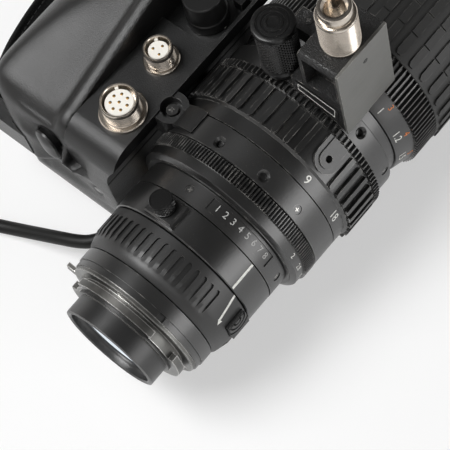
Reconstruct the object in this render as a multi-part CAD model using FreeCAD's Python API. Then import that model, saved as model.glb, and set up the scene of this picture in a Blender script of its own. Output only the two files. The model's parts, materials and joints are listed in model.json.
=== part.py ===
import FreeCAD, Part
import math
import os

# A broadcast zoom lens for a shoulder camera, lying on a table on its front barrel and its
# drive unit, as it is set down between jobs. Millimetres. The optical axis is +Y, towards
# the front. The origin is the centre of the bayonet flange face, which is the plane that
# meets the camera. +Z is up, on the side of the remote sockets, and +X is to the right seen
# from behind. Angles about the axis are degrees from +Z towards +X.

os.makedirs("parts", exist_ok=True)
Vector = FreeCAD.Vector
AXIS = Vector(0, 1, 0)
UP = Vector(0, 0, 1)

# Clearances
running = 0.08          # radial, between a ring and the barrel that it turns on
seat = 0.04             # radial, between a fixed piece and its seat
face_gap = 0.3          # axial, between a turning ring and its neighbour
case_gap = 0.8          # between the turning rings and the fixed cases beside them

# Stations along the axis, from the flange face
tube_end = -15.4
tube_step = -6.3
lug_front = -1.8
flange_thick = 1.8
collar_front = 10.45
macro_start = 11.0
macro_length = 19.6
back_start = 31.0
back_length = 13.3
number_start = 44.6
number_length = 9.9
iris_start = 54.8
iris_band = 5.8
iris_gear = 6.1
band_start = 67.0
band_length = 11.9
zoom_start = 79.2
zoom_plain = 6.6
zoom_ribs = 16.6
zoom_gear = 4.6
front_band_start = 107.3
front_band_length = 9.2
neck_length = 5.5
focus_start = 122.3
focus_band = 8.9
focus_gear = 12.9
grip_length = 40.0
rim_length = 16.0
rim_gap = 0.4
variator_start = 90.0
glass_setback = 5.0     # a group's glass is this much shorter than its cell
iris_leaves = 6
front_sag = 3.2         # the front element bulges this far, and stays below the filter thread

# Radii of the barrel's fixed pieces. Those round the main tube follow its radius.
tube_outer = 22.8
tube_inner = tube_outer - 2.4
relay_outer = 24.2
lug_hub = 26.0
lug_outer = lug_hub + 2.6
flange_outer = lug_hub + 5.6
collar_outer = flange_outer + 1.1
rear_barrel_outer = 30.0
rear_barrel_inner = rear_barrel_outer - 3.5
number_outer = rear_barrel_outer + 5.9
barrel_outer = 37.8
barrel_wall = 4.2
barrel_inner = barrel_outer - barrel_wall
band_outer = barrel_outer + 3.8
front_band_outer = barrel_outer + 4.3
neck_outer = barrel_outer + 1.8
rim_outer = barrel_outer + 8.7
filter_thread = barrel_outer + 3.2
filter_thread_length = 4.0
front_glass = barrel_outer + 1.2

# Bayonet
lug_count = 3
lug_arc = 88.0
lug_first_gap = 59.0
locator_angle = -78.0
locator_width = 5.2
locator_reach = 3.0
bayonet_screw_circle = 28.9
bayonet_screw_angles = (0, 120, 240)

# Gears. The module is the pitch diameter over the number of teeth.
coarse_module = 0.8
fine_module = 0.5
zoom_teeth = round(2 * (barrel_outer + 5.4) / coarse_module)
focus_teeth = round(2 * (barrel_outer + 6.2) / coarse_module)
iris_teeth = round(2 * (barrel_outer + 3.45) / fine_module)
pinion_teeth = 18
fine_pinion_teeth = 28
backlash = 0.24
mesh_gap = 0.2
pressure_angle = 20.0

# Turning rings
macro_outer = rear_barrel_outer + 5.3
macro_rear_outer = macro_outer - 1.7
macro_slots = 55
macro_slot_width = 2.3
macro_slot_depth = 0.9
macro_slot_start = 14.6
macro_slot_end = 26.9
macro_plain_from = 56.0
macro_plain_to = 104.0
button_angle = 88.0
button_width = 9.0
button_length = 10.0
button_center = 24.4
button_proud = 2.0
button_travel = 1.2
button_grooves = 3
back_outer = rear_barrel_outer + 5.8
pad_angle = -8.0
pad_width = 15.0
pad_length = 10.8
pad_top = back_outer + 2.4
thumb_radius = 4.9
thumb_height = 6.5
iris_outer = barrel_outer + 2.8
iris_bevel = 2.6
zoom_outer = barrel_outer + 3.8
rib_outer = barrel_outer + 6.4
rib_height = 1.5
rib_count = 42
rib_width = 2.3
rib_first = 12.0        # the first rib after the lever and the last before it, in degrees
rib_last = 344.0
lever_angle = 45.6
lever_setback = 8.1     # from the lever's hole to the front end of the ribs
lever_pad_width = 12.6
lever_boss_width = 8.4
lever_thread = 1.6
focus_outer = barrel_outer + 2.9
grip_outer = barrel_outer + 8.0
grip_thick = 2.6
grip_columns = 37
grip_first = 36.2
grip_margin = 1.5
grip_bar_length = 11.0
grip_bar_width = 3.6
grip_bar_height = 0.8
grip_bar_gap = 0.7

# Screws and threaded holes on the barrel
screw_head = 2.0
screw_length = 2.4
hole_radius = 1.6
hole_sink = 2.7
hole_depth = 3.0

# Drive unit
case_inner = -(barrel_outer + 0.2)      # the flat side next to the barrel
case_split = case_inner - 28.0          # where the upper case meets the palm shell
case_top = 34.0
case_rear = 38.0
case_front = 139.0
case_floor = 8.0        # the shell starts below this level
case_round = 12.0
floor_level = -rim_outer
palm_outer = case_inner - 81.0
shell_rear = 29.5
rear_corner = case_inner - 54.0         # the rear wall leans forwards from the barrel's side to here
rear_lean = 5.0
wall_end = -20.5        # below this level the shell slopes forwards to its flat rest
chin_reach = 8.5
chin_rise = 8.0
rest_start = 14.5
rocker_level = -38.0
hump_end = 78.0
tray_start = 104.4
tray_depth = 4.0
tray_wall = 1.6
tray_step = 8.0

# Record button in a tall thumb recess of the rear wall
thumb_x = case_inner - 39.0
thumb_z = 4.0
thumb_radius_out = 9.0
thumb_straight = 28.0
thumb_depth = 3.6
record_z = 13.5
record_radius = 6.6
record_straight = 6.0
record_proud = 2.2      # above the recess's floor
record_travel = 1.5
cover_screw = (case_inner - 22.0, -17.0, 3.6)

# Controls on the side that lies downwards
rocker_place = (case_inner - 42.0, 115.0)
rocker_half = (7.0, 17.0)
rocker_drop = 5.5
rocker_axle = 1.5
return_place = (case_inner - 59.0, 112.0)
return_radius = 4.2
iris_switch_place = (case_inner - 14.0, 124.0)
iris_switch_slide = 5.0
iris_button_place = (case_inner - 14.0, 107.0)
iris_button_radius = 3.2
button_drop = 2.0
well_depth = 7.0

# Gear motors in the shell, each beside its pinion: the angle round the barrel
zoom_drive_angle = -97.0
iris_drive_angle = -118.0
motor_radius = 8.0
motor_offset = 13.0
motor_length = 26.0
gearbox_length = 6.0
spindle_radius = 1.5

# Remote sockets on the upper case: radius of the shell's rim, and of its flange
socket_height = 10.3
socket_wall = 1.1
large_socket = (case_inner - 11.7, 60.8, 8.2, 10.4)
small_socket = (case_inner - 14.6, 88.6, 6.4, 7.9)
flange_height = 1.6
insert_drop = 1.8

# Lug that holds the drive unit to the barrel band
lug_radius = 7.4
lug_x = case_inner + 2.8
lug_center_y = band_start + 7.3
lug_top = 33.0
lug_sink = 4.2
lug_screw_radius = 1.6
lug_screw_length = 8.0
arm_reach = lug_x + 16.6
arm_width = 11.0

# Knob on the tray
mode_knob = (case_inner - 14.0, 117.0)
mode_knob_radius = 7.6
mode_knob_skirt = 9.4
mode_knob_top = 48.0
tray_switch_place = (case_inner - 5.6, 129.8)
tray_switch_half = (2.2, 2.6)
tray_switch_height = 5.5

# Flexible drive module over the front band
module_x = (11.7, 31.7)
module_y = (106.9, 136.9)
module_z = (33.0, barrel_outer + 40.2)
module_wall = 1.8
module_cover = 1.2
socket_tube = 8.2
socket_neck = 6.9
socket_bore = 4.2
socket_depth = 12.0
socket_center = (22.2, 121.0)
socket_top = module_z[1] + 25.0
foot_x = (-12.5, 4.8)
foot_length = 11.0
foot_z = (barrel_outer + 1.7, barrel_outer + 7.6)
clamp_x = -5.5
clamp_y = 113.0
clamp_radius = 9.0
clamp_base = foot_z[1] + face_gap
clamp_top = clamp_base + 30.3
clamp_post = 3.0
stud_grip = 8.0         # in the knob
stud_sink = 2.6         # in the front barrel
flex_spindle = 1.8
flex_shaft_radius = 2.0

# Hand strap: its line seen from above, as two arcs, and its edges
strap_line = ((palm_outer - 0.5, 42.0), (palm_outer - 10.6, 66.0), (palm_outer - 15.6, 96.0),
              (palm_outer - 11.5, 122.0), (palm_outer + 3.0, 143.0))
strap_thick = 6.0
strap_low = -40.0
strap_high = 8.0
strap_end = 20.0        # the strap's height at its ends, where it narrows to a webbing
strap_full = (80.0, 112.0)
anchor_low = -10.0
anchor_high = 6.0
anchor_length = 8.0

# Camera cable: the points that its runs go through, from the gland to the plug
cable_diameter = 6.2
cable_rest = floor_level + cable_diameter / 2
plug_radius = 8.3
plug_rest = floor_level + plug_radius
cable_points = (
    (-47.5, 28.2, -29.0), (-51.9, 22.2, -30.2), (-58.0, 18.6, -31.4), (-68.0, 15.1, -34.0),
    (-80.5, 11.3, -38.6), (-93.0, 7.2, -42.3), (-108.5, 0.8, cable_rest), (-122.5, -10.5, cable_rest),
    (-130.5, -27.5, cable_rest), (-128.5, -46.5, cable_rest + 0.2), (-117.0, -62.0, cable_rest + 2.6),
    (-101.5, -72.5, plug_rest), (-86.0, -82.0, plug_rest))
cable_bend = 0.45
gland_radius = 4.4
gland_length = 10.5
plug_length = 42.0
plug_sleeve = 26.0


def turned(points):
    """A solid of revolution about the optical axis, from (radius, y) points."""
    corners = [Vector(radius, y, 0) for radius, y in points]
    face = Part.Face(Part.makePolygon(corners + corners[:1]))
    return face.revolve(Vector(0, 0, 0), AXIS, 360)


def tube(start, end, inner, outer):
    """A plain ring between two stations."""
    return turned([(inner, start), (outer, start), (outer, end), (inner, end)])


def about_axis(shape, angle):
    """The shape turned about the optical axis."""
    return shape.rotated(Vector(0, 0, 0), AXIS, angle)


def spaced(shape, count, first=0.0, skip=None):
    """Copies of a shape evenly round the axis. skip is a range of angles left out."""
    copies = []
    for index in range(count):
        angle = (first + index * 360.0 / count) % 360.0
        if skip is None or not skip[0] < angle < skip[1]:
            copies.append(about_axis(shape, angle))
    return copies


def block(x, y, z):
    """A box between three (low, high) pairs."""
    return Part.makeBox(x[1] - x[0], y[1] - y[0], z[1] - z[0], Vector(x[0], y[0], z[0]))


def post(x, y, low, high, radius):
    """An upright cylinder."""
    return Part.makeCylinder(radius, high - low, Vector(x, y, low), UP)


def rod(start, end, x, z, radius):
    """A cylinder along the optical axis."""
    return Part.makeCylinder(radius, end - start, Vector(x, start, z), AXIS)


def outline_face(steps, place):
    """A face from (u, v) corners and arcs. A step is a point, or (middle, end) of an arc."""
    edges = []
    last = first = steps[0]
    for step in steps[1:] + [first]:
        if isinstance(step[0], tuple):
            middle, end = step
            edges.append(Part.Arc(place(*last), place(*middle), place(*end)).toShape())
            last = end
        elif step != last:
            edges.append(Part.LineSegment(place(*last), place(*step)).toShape())
            last = step
    return Part.Face(Part.Wire(edges))


def gear_band(start, end, teeth, module, inner, phase=0.0, straight_root=False):
    """Straight teeth with flat flanks. A small pinion has parallel flanks below its pitch line."""
    pitch = module * teeth / 2.0
    step = 2 * math.pi / teeth
    tip, root = pitch + module, pitch - 1.15 * module
    slope = math.tan(math.radians(pressure_angle))
    half = math.pi * module / 4 - backlash / 2
    flank = [(-(half - slope * module) / pitch, tip), ((half - slope * module) / pitch, tip)]
    if straight_root:
        flank = [(-0.92 * half / pitch, root), (-half / pitch, pitch)] + flank
        flank += [(half / pitch, pitch), (0.92 * half / pitch, root)]
    else:
        low = (half + 1.15 * slope * module) / pitch
        flank = [(-low, root)] + flank + [(low, root)]
    corners = []
    for index in range(teeth):
        for offset, radius in flank:
            angle = phase + index * step + offset
            corners.append(Vector(radius * math.sin(angle), start, radius * math.cos(angle)))
    face = Part.Face(Part.makePolygon(corners + corners[:1]))
    if inner > 0:
        circle = Part.Wire(Part.makeCircle(inner, Vector(0, start, 0), AXIS))
        face = face.cut(Part.Face(circle)).Faces[0]
    return face.extrude(Vector(0, end - start, 0))


def fine_band(start, end, teeth, module, inner):
    """Fine teeth with a flat tip and a sharp root."""
    pitch = module * teeth / 2.0
    step = 2 * math.pi / teeth
    corners = []
    for index in range(teeth):
        for offset, radius in ((-0.5, pitch - 1.3 * module), (-0.11, pitch + module), (0.11, pitch + module)):
            angle = (index + offset) * step
            corners.append(Vector(radius * math.sin(angle), start, radius * math.cos(angle)))
    face = Part.Face(Part.makePolygon(corners + corners[:1]))
    circle = Part.Wire(Part.makeCircle(inner, Vector(0, start, 0), AXIS))
    return face.cut(Part.Face(circle)).Faces[0].extrude(Vector(0, end - start, 0))


def pinion(start, end, angle, ring_teeth, teeth, module, shaft):
    """A pinion in mesh with a ring gear at an angle round the barrel. Gives the solid and its axis."""
    theta = math.radians(angle)
    ring_step = 2 * math.pi / ring_teeth
    phase = theta + math.pi + (theta % ring_step) * ring_teeth / teeth + math.pi / teeth
    distance = module * (ring_teeth + teeth) / 2 + mesh_gap
    place = Vector(distance * math.sin(theta), 0, distance * math.cos(theta))
    gear = gear_band(start, end, teeth, module, 0, phase, True)
    spindle = rod(shaft[0], shaft[1], 0, 0, shaft[2])
    return gear.fuse(spindle).translated(place), place


def lens(center, radius, edge, rear_sag, front_sag):
    """A glass element: a cylinder whose two ends are spherical, hollow where the sag is negative."""
    low, high = center - edge / 2.0, center + edge / 2.0
    glass = rod(low - max(rear_sag, 0), high + max(front_sag, 0), 0, 0, radius)
    for station, sag, out in ((low, rear_sag, -1), (high, front_sag, 1)):
        ball_radius = (radius ** 2 + sag ** 2) / (2 * abs(sag))
        if sag > 0:
            middle = Vector(0, station + out * (sag - ball_radius), 0)
            glass = glass.common(Part.makeSphere(ball_radius, middle, AXIS))
        else:
            middle = Vector(0, station + out * (sag + ball_radius), 0)
            glass = glass.cut(Part.makeSphere(ball_radius, middle, AXIS))
    return glass


def radial(x_width, y_center, y_length, low, high):
    """A block on top of the barrel, to be turned to its angle."""
    return block((-x_width / 2, x_width / 2), (y_center - y_length / 2, y_center + y_length / 2),
                 (low, high))


def radial_pin(y, low, high, radius):
    """A cylinder that stands on top of the barrel, to be turned to its angle."""
    return post(0, y, low, high, radius)


def save(name, shape):
    shape.exportStep("parts/" + name + ".step")
    print(name, len(shape.Solids), round(shape.Volume, 1), shape.isValid())


def countersunk(shape, y, angle, outer):
    """The shape with a blind hole and its bevel, at an angle round the barrel."""
    hole = radial_pin(y, outer - hole_depth, outer + 1, hole_radius)
    sink = Part.makeCone(hole_radius, hole_sink, 1.1, Vector(0, y, outer - 1.1), UP)
    mouth = radial_pin(y, outer, outer + 1, hole_sink)
    return shape.cut(about_axis(hole.fuse([sink, mouth]), angle))


def nosed(width, plain_end, nose_end, low, high, facets=3):
    """A bar on top of the barrel with one faceted round end, to add or to cut."""
    half = width / 2
    back = half if nose_end > plain_end else -half
    turns = [math.pi * index / facets for index in range(facets + 1)]
    corners = [(-half, plain_end)]
    corners += [(-half * math.cos(turn), nose_end - back + back * math.sin(turn)) for turn in turns]
    corners.append((half, plain_end))
    face = Part.Face(Part.makePolygon([Vector(x, y, low) for x, y in corners + corners[:1]]))
    return face.extrude(Vector(0, 0, high - low))


def screw_seat(shape, y, angle, outer):
    """The shape with a round pocket for a flush screw."""
    pocket = radial_pin(y, outer - screw_length, outer + 2, screw_head + seat)
    return shape.cut(about_axis(pocket, angle))


def flush_screw(y, angle, outer):
    """A flat screw head in its pocket, a little below the surface."""
    head = radial_pin(y, outer - screw_length, outer - 0.45, screw_head)
    return about_axis(head, angle)


macro_end = macro_start + macro_length
back_end = back_start + back_length
number_end = number_start + number_length
iris_end = iris_start + iris_band + iris_gear
band_end = band_start + band_length
zoom_end = zoom_start + zoom_plain + zoom_ribs + zoom_gear
front_band_end = front_band_start + front_band_length
neck_end = front_band_end + neck_length
focus_gear_start = focus_start + focus_band
focus_gear_end = focus_gear_start + focus_gear
grip_end = focus_gear_end + grip_length
rim_start = grip_end + rim_gap
rim_end = rim_start + rim_length
zoom_pitch = coarse_module * zoom_teeth / 2
focus_pitch = coarse_module * focus_teeth / 2
iris_pitch = fine_module * iris_teeth / 2
pinion_pitch = coarse_module * pinion_teeth / 2
fine_pinion_pitch = fine_module * fine_pinion_teeth / 2

number_screws = [(number_start + 5.3, angle) for angle in (-5.5, 88.0, 180.0, 268.0)]
band_screws = [(band_start + 4.3, angle) for angle in (52.7, 172.0)]
front_screws = [(front_band_start + 5.8, angle) for angle in (87.5, 177.0)]
band_holes = [(band_start + 4.2, angle) for angle in (-6.5, 25.3)]


def rear_tube():
    bore = tube_inner - 0.9
    return turned([(tube_inner + 0.9, tube_end), (tube_outer, tube_end + 0.4),
                   (tube_outer, tube_step), (relay_outer, tube_step), (relay_outer, 22.0),
                   (bore - 2.0, 22.0), (bore - 2.0, tube_step + 4.0), (bore, tube_step + 4.0),
                   (bore, tube_end + 4.2), (tube_inner, tube_end + 2.4), (tube_inner, tube_end + 0.6)])


def bayonet_mount():
    body = turned([(relay_outer + seat, tube_step + 1.2), (lug_hub, tube_step + 1.2),
                   (lug_hub, 0.0), (flange_outer - 0.3, 0.0), (flange_outer, 0.3),
                   (flange_outer, flange_thick), (relay_outer + seat, flange_thick)])
    ring = tube(tube_step + 1.2, lug_front, lug_hub - 0.5, lug_outer)
    for index in range(lug_count):
        gap_arc = 360.0 / lug_count - lug_arc
        reach = lug_outer * 2
        half = math.radians(gap_arc / 2)
        wedge = Part.Face(Part.makePolygon([Vector(0, -20, 0),
                                            Vector(-reach * math.sin(half), -20, reach * math.cos(half)),
                                            Vector(reach * math.sin(half), -20, reach * math.cos(half)),
                                            Vector(0, -20, 0)])).extrude(Vector(0, 30, 0))
        ring = ring.cut(about_axis(wedge, lug_first_gap + index * 360.0 / lug_count))
    locator = radial(locator_width, flange_thick / 2, flange_thick, flange_outer - 1.5,
                     collar_outer + locator_reach)
    body = body.fuse([ring, about_axis(locator, locator_angle)])
    for angle in bayonet_screw_angles:
        pocket = Part.makeCylinder(1.5, 1.1, Vector(0, 0, bayonet_screw_circle), AXIS)
        body = body.cut(about_axis(pocket, angle))
    return body


def bayonet_screws():
    screws = []
    for angle in bayonet_screw_angles:
        head = Part.makeCylinder(1.4, 0.9, Vector(0, 0.2, bayonet_screw_circle), AXIS)
        screws.append(about_axis(head, angle))
    return Part.makeCompound(screws)


def rear_barrel():
    step_y = flange_thick + 2.8
    barrel = turned([(relay_outer + seat, flange_thick), (collar_outer - 0.5, flange_thick),
                     (collar_outer - 0.5, step_y), (collar_outer, step_y),
                     (collar_outer, collar_front), (rear_barrel_outer, collar_front),
                     (rear_barrel_outer, number_start), (rear_barrel_inner, number_start),
                     (rear_barrel_inner, 24.0), (relay_outer + seat, 24.0)])
    notch = radial(3.4, flange_thick + 1.4, 2.8, collar_outer - 1.4, collar_outer + 1)
    slot = radial(locator_width + 0.4, flange_thick, 1.0, flange_outer, collar_outer + 1)
    return barrel.cut([about_axis(notch, 37.0), about_axis(slot, locator_angle)])


def macro_ring():
    bore = rear_barrel_outer + running
    ring = turned([(bore, macro_start), (macro_rear_outer - 1.2, macro_start),
                   (macro_rear_outer, macro_start + 1.6), (macro_rear_outer + 0.5, macro_slot_start - 0.4),
                   (macro_outer, macro_slot_start + 4), (macro_outer, macro_end - 0.4),
                   (macro_outer - 0.4, macro_end), (bore, macro_end)])
    slot = nosed(macro_slot_width, macro_slot_start - 2, macro_slot_end, macro_outer - macro_slot_depth,
                 macro_outer + 1)
    ring = ring.cut(spaced(slot, macro_slots, 1.4, (macro_plain_from, macro_plain_to)))
    pocket = radial(button_width + 0.5, button_center, button_length + 0.5,
                    macro_outer - 3.2, macro_outer + 2)
    return ring.cut(about_axis(pocket, button_angle))


def macro_button():
    """A square button with nested arcs for the thumb, centred on the middle of one side."""
    top = macro_outer + button_proud
    button = radial(button_width, button_center, button_length,
                    macro_outer - 3.2 + button_travel + 0.1, top)
    spacing = button_width / (button_grooves + 1)
    for index in range(button_grooves):
        reach = spacing * (index + 1)
        groove = post(-button_width / 2, button_center, top - 0.7, top + 1, reach)
        core = post(-button_width / 2, button_center, top - 1, top + 2, reach - 0.8)
        button = button.cut(groove.cut(core))
    return about_axis(button, button_angle)


def back_focus_ring():
    bore = rear_barrel_outer + running
    ring = turned([(bore, back_start), (back_outer - 0.4, back_start), (back_outer, back_start + 0.4),
                   (back_outer, back_end - 0.2), (back_outer - 0.2, back_end), (bore, back_end)])
    pad_y = back_start + 6.4
    pad = radial(pad_width, pad_y, pad_length, back_outer - 3, pad_top)
    top_edges = [edge for edge in pad.Edges if edge.BoundBox.ZMin > pad_top - 0.01]
    pad = pad.makeChamfer(0.6, top_edges)
    ring = ring.fuse(about_axis(pad, pad_angle))
    hole = radial_pin(pad_y, rear_barrel_outer - 2, pad_top + 1, 1.5 + running)
    return ring.cut(about_axis(hole, pad_angle))


def back_focus_screw():
    pad_y = back_start + 6.4
    neck = radial_pin(pad_y, rear_barrel_outer + 0.4, pad_top + face_gap, 1.5)
    head = Part.makeCylinder(thumb_radius, thumb_height, Vector(0, pad_y, pad_top + face_gap), UP)
    rims = [edge for edge in head.Edges if edge.Closed and len(edge.Vertexes) == 1]
    head = head.makeChamfer(0.5, rims)
    return about_axis(neck.fuse(head), pad_angle)


def number_ring():
    inner = rear_barrel_outer + seat
    ring = turned([(inner, number_start), (number_outer, number_start), (number_outer, number_end - 0.3),
                   (number_outer - 0.3, number_end), (inner, number_end)])
    window = tube(number_start + 2.6, number_end - 1.6, number_outer - 0.5, number_outer + 2)
    keep = wedge_between(11.0, 69.0, number_start, number_end, number_outer + 3)
    ring = ring.cut(window.common(keep))
    for y, angle in number_screws:
        ring = screw_seat(ring, y, angle, number_outer)
    return ring


def wedge_between(first, last, start, end, reach):
    """A sector of a disc between two angles, to cut or keep part of a ring."""
    low, high = math.radians(first), math.radians(last)
    middle = (low + high) / 2
    far = reach / math.cos((high - low) / 2)
    corners = [Vector(0, start, 0), Vector(far * math.sin(low), start, far * math.cos(low)),
               Vector(far * 1.3 * math.sin(middle), start, far * 1.3 * math.cos(middle)),
               Vector(far * math.sin(high), start, far * math.cos(high)), Vector(0, start, 0)]
    return Part.Face(Part.makePolygon(corners)).extrude(Vector(0, end - start, 0))


def body_screws():
    places = [(y, angle, number_outer) for y, angle in number_screws]
    places += [(y, angle, band_outer) for y, angle in band_screws]
    places += [(y, angle, front_band_outer) for y, angle in front_screws]
    return Part.makeCompound([flush_screw(*place) for place in places])


def main_barrel():
    barrel = turned([(barrel_inner, number_end), (barrel_outer, number_end), (barrel_outer, band_start),
                     (band_outer - 0.2, band_start), (band_outer, band_start + 0.2),
                     (band_outer, band_end - 0.2), (band_outer - 0.2, band_end),
                     (barrel_outer, band_end), (barrel_outer, front_band_start),
                     (barrel_inner, front_band_start)])
    for y, angle in band_holes:
        barrel = countersunk(barrel, y, angle, band_outer)
    for y, angle in band_screws:
        barrel = screw_seat(barrel, y, angle, band_outer)
    return barrel


def iris_ring():
    bore = barrel_outer + running
    gear_start = iris_start + iris_band
    ring = turned([(bore, iris_start), (iris_outer - iris_bevel, iris_start),
                   (iris_outer - 0.3, iris_start + 0.9), (iris_outer, iris_start + 1.3),
                   (iris_outer, gear_start), (bore, gear_start)])
    return ring.fuse(fine_band(gear_start, iris_end - face_gap, iris_teeth, fine_module, bore))


def zoom_ring():
    bore = barrel_outer + running
    ribs_start = zoom_start + zoom_plain
    ribs_end = ribs_start + zoom_ribs
    gear_root = zoom_pitch - 1.2 * coarse_module
    base = rib_outer - rib_height
    ring = turned([(bore, zoom_start), (zoom_outer, zoom_start), (zoom_outer, ribs_start),
                   (base, ribs_start + 1.0), (base, ribs_end), (gear_root, ribs_end + 0.4),
                   (gear_root, ribs_end + 1.0), (bore, ribs_end + 1.0)])
    rib = nosed(rib_width, ribs_end, ribs_start + 0.7, base - 0.6, rib_outer)
    rib_step = (rib_last - rib_first) / (rib_count - 1)
    raised = [about_axis(rib, lever_angle + rib_first + index * rib_step) for index in range(rib_count)]
    hole_y = ribs_end - lever_setback
    for width, height in ((lever_pad_width, rib_outer - 0.7), (lever_boss_width, rib_outer)):
        pad = nosed(width, ribs_end, hole_y - width / 2, base - 1.2, height, 8)
        raised.append(about_axis(pad, lever_angle))
    ring = ring.fuse(raised)
    teeth = gear_band(ribs_end + 1.0, zoom_end - face_gap, zoom_teeth, coarse_module, bore)
    hole = radial_pin(hole_y, base - 2.6, rib_outer + 1, lever_thread)
    return ring.fuse(teeth).cut(about_axis(hole, lever_angle))


def front_barrel():
    tube_front = rim_start + 3.0
    barrel = turned([(barrel_inner, front_band_start), (front_band_outer, front_band_start),
                     (front_band_outer, front_band_end - 0.3), (front_band_outer - 0.3, front_band_end),
                     (neck_outer, front_band_end), (neck_outer, neck_end),
                     (barrel_outer, neck_end), (barrel_outer, tube_front), (barrel_inner, tube_front)])
    barrel = countersunk(barrel, front_band_start + 5.3, 51.3, front_band_outer)
    for y, angle in front_screws:
        barrel = screw_seat(barrel, y, angle, front_band_outer)
    foot_seat = post(clamp_x, clamp_y, 30, clamp_base, clamp_post + seat)
    return barrel.cut(foot_seat)


def focus_ring():
    bore = barrel_outer + running
    root = focus_pitch - 1.2 * coarse_module
    sleeve = grip_outer - grip_thick
    ring = turned([(bore, focus_start), (focus_outer - 0.3, focus_start), (focus_outer, focus_start + 0.3),
                   (root, focus_gear_start), (bore, focus_gear_start)])
    teeth = gear_band(focus_gear_start, focus_gear_end, focus_teeth, coarse_module, bore)
    carrier = tube(focus_gear_end, grip_end, bore, sleeve)
    return ring.fuse([teeth, carrier])


def focus_grip():
    """A rubber sleeve with long raised bars, each broken by narrow cross cuts."""
    inner = grip_outer - grip_thick + seat
    floor = grip_outer - grip_bar_height
    start, end = focus_gear_end + 0.1, grip_end
    sleeve = turned([(inner, start), (floor - 0.3, start), (floor, start + 0.3),
                     (floor, end - 0.5), (floor - 0.5, end), (inner, end)])
    bars_start = focus_gear_end + grip_margin
    low = floor - 0.3
    bars = []
    for station in range(math.ceil((end - bars_start) / grip_bar_length)):
        plain = min(bars_start + (station + 1) * grip_bar_length, end - 0.8)
        rear = bars_start + station * grip_bar_length
        if station:
            corners = (-grip_bar_width / 2, grip_bar_width / 2)
            bars.append(block(corners, (rear + grip_bar_gap / 2, plain - grip_bar_gap / 2), (low, grip_outer)))
        else:
            bars.append(nosed(grip_bar_width, plain - grip_bar_gap / 2, rear, low, grip_outer))
    raised = [bar for shape in bars for bar in spaced(shape, grip_columns, grip_first)]
    return sleeve.fuse(raised)


def front_rim():
    thread_start = rim_end - filter_thread_length
    glass_seat = rim_start + 3.8
    return turned([(barrel_outer + seat, rim_start), (rim_outer - 0.8, rim_start),
                   (rim_outer, rim_start + 0.8), (rim_outer, rim_end - 0.8), (rim_outer - 0.8, rim_end),
                   (filter_thread, rim_end), (filter_thread, thread_start), (front_glass, thread_start),
                   (front_glass, glass_seat), (barrel_outer + seat, glass_seat)])


def optics():
    """Glass and the cells that carry it, from the rear tube to the front."""
    save("rear_element", lens(tube_end + 6.6, tube_inner - 0.95, 2.6, 2.0, 1.6))
    cell_outer = rear_barrel_inner - seat
    relay_glass = rear_barrel_inner - 9.5
    relay_start = macro_end - 4.6
    relay_end = relay_start + 14.0
    save("relay_cell", tube(relay_start, relay_end, relay_glass, cell_outer))
    save("relay_lens", lens((relay_start + relay_end) / 2, relay_glass - seat, 7.0, 2.4, 2.4))
    plate = iris_start + 2.8
    aperture = barrel_inner - 21.1
    save("iris_plate", tube(plate, plate + 1.4, aperture, barrel_inner - seat))
    blades = []
    leaf_circle = aperture - 2.0
    for index in range(iris_leaves):
        level = plate + 1.6 + 0.35 * index
        leaf = rod(level, level + 0.2, aperture + 7.0, 0, leaf_circle)
        leaf = leaf.cut(rod(level - 1, level + 1, 8.0, 0, leaf_circle - 1.5))
        blades.append(about_axis(leaf, 360.0 / iris_leaves * index))
    save("iris_blades", Part.makeCompound(blades))
    sliding_cell("variator", variator_start, 12.0, barrel_inner - 14.6, 3.0, -1.6, -1.6)
    sliding_cell("compensator", band_start + 1.0, 7.0, barrel_inner - 16.6, 3.0, 1.4, 1.4)
    sliding_cell("focus", focus_gear_end + 5.9, 16.0, barrel_inner - 6.6, 16.0, 2.0, 2.6)
    front_middle = rim_end - filter_thread_length - 0.1 - front_sag - 2.3
    save("front_element", lens(front_middle, front_glass - seat, 4.6, 2.2, front_sag))


def sliding_cell(name, start, length, glass, flange, rear_sag, front_sag):
    """A glass group in a cell that slides in the barrel on its flange."""
    hub = min(glass + 3.0, barrel_inner - running)
    cell = turned([(glass + seat, start), (barrel_inner - running, start),
                   (barrel_inner - running, start + flange), (hub, start + flange),
                   (hub, start + length), (glass + seat, start + length)])
    if flange >= length:
        cell = tube(start, start + length, glass + seat, barrel_inner - running)
    save(name + "_cell", cell)
    save(name + "_lens", lens(start + length / 2, glass, length - glass_setback, rear_sag, front_sag))


def side_profile(x_from, x_to, steps):
    """A prism along X from a side view of (y, z) steps."""
    face = outline_face(steps, lambda u, v: Vector(x_from, u, v))
    return face.extrude(Vector(x_to - x_from, 0, 0))


def barrel_clearance():
    return rod(case_rear - 20, case_front + 20, 0, 0, grip_outer + case_gap)


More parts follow.
